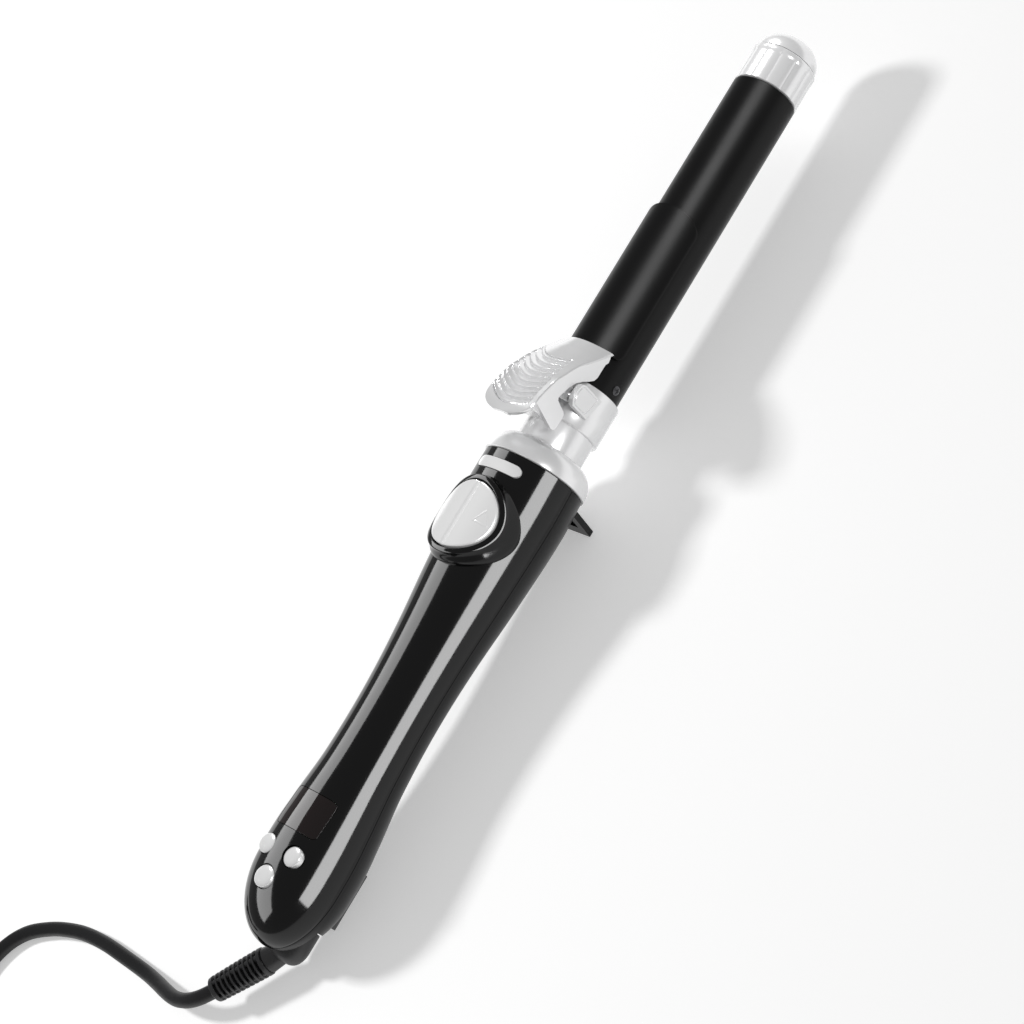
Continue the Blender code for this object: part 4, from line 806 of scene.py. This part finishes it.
sleeve = [(BARREL_END + GAP, 0.0121), (BARREL_END + GAP + 0.0003, 0.0126)]
sleeve += [(BARREL_END + 0.0008 + 0.0118 * i / 24, 0.0126 - 0.0001 * i / 24) for i in range(25)]
sleeve += [(BARREL_END + 0.0130, 0.01265), (BARREL_END + 0.0146, 0.01265), (BARREL_END + TIP_LENGTH, 0.0123)]
sleeve += [(BARREL_END + TIP_LENGTH, 0.0092), (BARREL_END - 0.0052, 0.0092), (BARREL_END - 0.0052, 0.0110)]
sleeve += [(BARREL_END + GAP, 0.0110)]
tip_sleeve = lathe(sleeve, 264, ring=True, radius=flute)
add("tip_sleeve_skin", tip_sleeve, bright_silver, "barrel", ["tip_sleeve"], angle=50)
cap, top = [], BARREL_END + TIP_LENGTH + GAP
for i in range(41):
    angle = math.pi / 2 * i / 40
    cap.append((top + TIP_CAP_LENGTH * math.cos(angle), 0.0121 * math.sin(angle) ** 0.8))
cap += [(top, 0.0118), (top, 0.0089), (top - 0.0053, 0.0089), (top - 0.0053, 0)]
add("tip_cap_skin", lathe(cap, 128), bright_silver, "barrel", ["tip_cap"], angle=50)


# ---------------------------------------------------------------- clamp
PLATE_HALF_ANGLE, NEAR_CORNER, FAR_CORNER = math.radians(67), 0.0030, 0.0070
TONGUE_START, TONGUE_LENGTH, TONGUE_HALF = 0.0382, 0.0110, 0.0070


def plate_limit(x):
    """Half the angle that the plate covers at x: small round corners at the hinge, a round end at the tip."""
    near, far = x - CLAMP_START, CLAMP_END - x
    limit = PLATE_HALF_ANGLE
    if near < NEAR_CORNER:
        limit -= (NEAR_CORNER - math.sqrt(max(0.0, NEAR_CORNER**2 - (NEAR_CORNER - near) ** 2))) / CLAMP_OUTER
    if far < FAR_CORNER:
        limit *= max(0.02, math.sqrt(max(0.0, 1 - ((FAR_CORNER - far) / FAR_CORNER) ** 2)))
    return limit


def clamp_plate():
    rows, columns, edge = 140, 64, 0.00015
    top, bottom = [], []
    for i in range(rows + 1):
        x = CLAMP_START + (CLAMP_END - CLAMP_START) * (0.5 - 0.5 * math.cos(math.pi * i / rows))
        limit = plate_limit(x)
        row, under = [], []
        for k in range(columns + 1):
            angle = limit * (2 * k / columns - 1)
            r = CLAMP_OUTER - (edge if i in (0, rows) or k in (0, columns) else 0.0)
            row.append((x, r * math.sin(angle), r * math.cos(angle)))
            under.append((x, CLAMP_INNER * math.sin(angle), CLAMP_INNER * math.cos(angle)))
        top.append(row)
        bottom.append(under)
    add("clamp_plate_skin", sheet_solid(top, bottom), coated_black, "clamp", ["clamp_plate"], angle=40)


def clamp_tongue():
    """The strip of the plate that runs back under the lever, a hair thinner than the plate."""
    top, bottom = [], []
    for i in range(13):
        x = TONGUE_START + TONGUE_LENGTH * i / 12
        row, under = [], []
        for k in range(25):
            angle = math.asin(TONGUE_HALF / CLAMP_OUTER) * (2 * k / 24 - 1)
            row.append((x, CLAMP_OUTER * math.sin(angle), CLAMP_OUTER * math.cos(angle) - 0.00002))
            under.append((x, CLAMP_INNER * math.sin(angle), CLAMP_INNER * math.cos(angle) + 0.00002))
        top.append(row)
        bottom.append(under)
    add("clamp_tongue", sheet_solid(top, bottom), coated_black, "clamp", angle=40)


clamp_plate()
clamp_tongue()

LEVER_HALF, LEVER_SKIN = 0.0116, 0.0014
RIB_START, RIB_PITCH, RIBS, RIB_DEPTH = 0.0122, 0.00250, 9.7, 0.00105


def lever_half_width(x):
    if x > 0.0168:
        return LEVER_HALF + 0.0006 * ease((x - 0.036) / 0.010)
    return LEVER_HALF * max(0.10, 1 - ((0.0168 - x) / 0.0083) ** 2.6) ** 0.5


def rib_height(x, y):
    """Curved steps across the thumb plate, bowed towards the handle."""
    bend = 0.0036 * (y / 0.0090) ** 2 if y > 0 else 0.0022 * (y / 0.0090) ** 2
    place = ((x - bend) - RIB_START) / RIB_PITCH
    if place < 0 or place > RIBS:
        return 0.0
    phase = place % 1.0
    step = phase / 0.26 if phase < 0.26 else (1 - phase) / 0.74
    reach = 0.0112 if y > 0 else 0.0092 - 0.0016 * max(0.0, (x - 0.026) / 0.010)
    fade = 1 - ease((abs(y) - reach + 0.0005) / 0.0005)
    return -RIB_DEPTH * (1 - step) * fade


def lever():
    rows, columns = 260, 72
    top, bottom = [], []
    for i in range(rows + 1):
        x, edge, crown = smooth(LEVER_SPINE, i / rows)
        half = lever_half_width(x)
        row, under = [], []
        for j in range(columns + 1):
            share = 2 * j / columns - 1
            y = share * half
            lip = 0.00035 * max(0.0, 1 - (1 - abs(share)) / 0.03) ** 2
            z = edge + crown * (1 - share**2)
            sag = 0.0007 * (1 - share**2) * ease((x - 0.012) / 0.006) * ease((0.044 - x) / 0.008)
            row.append((x, y, z - sag - lip + rib_height(x, y)))
            under.append((x, y * 0.985, z - sag - LEVER_SKIN))
        top.append(row)
        bottom.append(under)
    add("clamp_lever_skin", sheet_solid(top, bottom), silver, "clamp", ["clamp_lever"], angle=45)


lever()

side_top = [(x, z - 0.0006) for x, z, _ in (smooth(LEVER_SPINE, 0.13 + 0.87 * i / 30) for i in range(31))]
side_low = [
    (0.0478, 0.0104), (0.0466, 0.0099), (0.0452, 0.0096), (0.0440, 0.0104), (0.0425, 0.0105), (0.0385, 0.0105),
    (0.0368, 0.0112), (0.0352, 0.0132), (0.0334, 0.0160), (0.0312, 0.0184), (0.0279, 0.0204), (0.0250, 0.0216),
    (0.0230, 0.0221), (0.0222, 0.0214), (0.0214, 0.0190), (0.0208, 0.0164), (0.0200, 0.0154), (0.0186, 0.0151),
    (0.0144, 0.0153), (0.0134, 0.0159), (0.0130, 0.0174),
]
LUG_RADIUS = 0.0026
lug = []
for i in range(17):
    a = math.pi + math.pi * i / 16
    lug.append((HINGE_X + LUG_RADIUS * math.cos(a), HINGE_Z + LUG_RADIUS * math.sin(a)))
lug += [(HINGE_X + 0.0040, 0.0248), (HINGE_X - 0.0048, 0.0262)]
for side, label in ((1, "left"), (-1, "right")):
    wall = prism(side_top + side_low, 0.0018, (0, side * 0.01065, 0), "Y")
    wall = shaped(wall, ("DIFFERENCE", lathe(((0.0350, 0), (0.0350, 0.01445), (0.06, 0.01445), (0.06, 0)), 96)))
    add(f"lever_wall_{label}", wall, bright_silver, "clamp", bevel=0.00028, angle=40)
    ear_lug = prism(lug, 0.0014, (0, side * 0.0091, 0), "Y")
    add(f"lever_lug_{label}", ear_lug, silver, "clamp", bevel=0.00018, angle=40)
web = prism([(0.0137, 0.0300), (0.0150, 0.0178), (0.0168, 0.0178), (0.0160, 0.0296)], 0.0196, (0, 0, 0), "Y")
add("lever_web", web, silver, "clamp", bevel=0.0002, angle=40)


# ---------------------------------------------------------------- CAD nodes that show or work inside
KEPT_NODES = (
    (satin_black, ("stand", "display_module", "rocker_cradle", "rocker_switch_left", "rocker_switch_right")),
    (soft_black, ("rear_foot",)),
    (dark_steel, ("shell_screw_1", "shell_screw_2", "barrel_screw")),
    (steel, (
        "hinge_pin", "stand_pin", "rocker_pin", "clamp_spring", "clamp_rivet_1", "clamp_rivet_2",
        "swivel_socket", "motor_can", "planet_carrier", "power_switch", "plus_switch", "minus_switch",
    )),
    (brass, ("front_bushing", "slip_ring_1", "slip_ring_2", "sun_gear")),
    (aluminium, ("heat_spreader_front", "heat_spreader_rear")),
    (ceramic, ("heater_plate",)),
    (board_green, ("control_board",)),
    (nylon, (
        "gearbox_ring", "gearbox_cover", "planet_gear_1", "planet_gear_2", "planet_gear_3", "slip_ring_drum",
        "brush_block",
    )),
)
KEPT_BEVELS = {"stand": 0.0004, "rear_foot": 0.0005, "barrel_screw": 0.0001}
for material, nodes in KEPT_NODES:
    for node in nodes:
        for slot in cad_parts[node].material_slots:
            slot.material = material
for node, width in KEPT_BEVELS.items():
    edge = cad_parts[node].modifiers.new("bevel", "BEVEL")
    edge.width = width
    edge.segments = 3
    edge.limit_method = "ANGLE"
    edge.angle_limit = math.radians(40)


# ---------------------------------------------------------------- studio
floor_mesh = prism([(-4, -4), (4, -4), (4, 4), (-4, 4)], 0.02, (0, 0, TABLE_Z - 0.0101))
floor_mesh.transform(TO_ROW)
floor = bpy.data.objects.new("floor", floor_mesh)
bpy.context.scene.collection.objects.link(floor)
floor_material = bpy.data.materials.new("floor")
floor_material.use_nodes = True
floor_shader = floor_material.node_tree.nodes["Principled BSDF"]
floor_shader.inputs["Base Color"].default_value = (0.80, 0.80, 0.80, 1)
floor_shader.inputs["Roughness"].default_value = 0.9
floor_shader.inputs["Specular IOR Level"].default_value = 0.0
floor_shader.inputs["Emission Color"].default_value = (1, 1, 1, 1)
floor_shader.inputs["Emission Strength"].default_value = 0.40
floor_mesh.materials.append(floor_material)

world = bpy.data.worlds.new("studio")
world.use_nodes = True
world.node_tree.nodes["Background"].inputs["Color"].default_value = (1, 1, 1, 1)
world.node_tree.nodes["Background"].inputs["Strength"].default_value = 0.30
bpy.context.scene.world = world
bpy.context.scene.view_settings.view_transform = "Standard"


def area_light(name, place, aim, size, power):
    data = bpy.data.lights.new(name, "AREA")
    data.shape = "RECTANGLE"
    data.size, data.size_y = size
    data.energy = power
    light = bpy.data.objects.new(name, data)
    place, aim = Vector(place), Vector(aim)
    light.matrix_world = Matrix.Translation(place) @ (place - aim).to_track_quat("Z", "X").to_matrix().to_4x4()
    bpy.context.scene.collection.objects.link(light)
    return light


def around(angle, distance, x=0.0):
    """A place beside the object: angle is measured from straight up towards +Y, in degrees."""
    turn = math.radians(angle)
    return (x, distance * math.sin(turn), distance * math.cos(turn) + 0.03)


def only_on(light, names, diffuse=False):
    """A light for the named pieces alone, which shows in their gloss and, if asked, lights them too."""
    group = bpy.data.collections.new(light.name + "_pieces")
    for name in names:
        group.objects.link(bpy.data.objects[name])
    light.light_linking.receiver_collection = group
    light.visible_diffuse = diffuse


# each light: name, place, aim, size in metres and power in watts
MIDDLE = (0, 0, 0.03)
key = area_light("key", (-0.42, 1.02, 1.15), MIDDLE, (0.22, 0.22), 16)
key.visible_glossy = False

handle_gloss = ["front_shell_skin", "rear_shell_skin", "rocker_bezel_skin", "display_window_skin"]
barrel_gloss = ["barrel_tube_skin", "clamp_plate_skin", "clamp_tongue"]
only_on(area_light("strip_far", around(42, 1.1, -0.30), MIDDLE, (0.76, 3.0), 48), handle_gloss)
only_on(area_light("strip_near", around(-74, 1.1, 0.35), (0.35, 0, 0.03), (0.60, 2.1), 62), handle_gloss)
only_on(area_light("strip_barrel", around(-25, 1.1, 0.15), MIDDLE, (0.62, 1.6), 21), barrel_gloss)

plating = (silver, bright_silver, button_silver)
plated = [
    o.name for o in bpy.data.objects if o.type == "MESH" and o.data.materials and o.data.materials[0] in plating
]
only_on(area_light("silver_side", (0.05, -1.00, 0.75), MIDDLE, (0.30, 0.30), 8), plated, diffuse=True)
only_on(area_light("silver_top", (0.70, 0.45, 0.80), MIDDLE, (0.30, 0.30), 7), plated, diffuse=True)
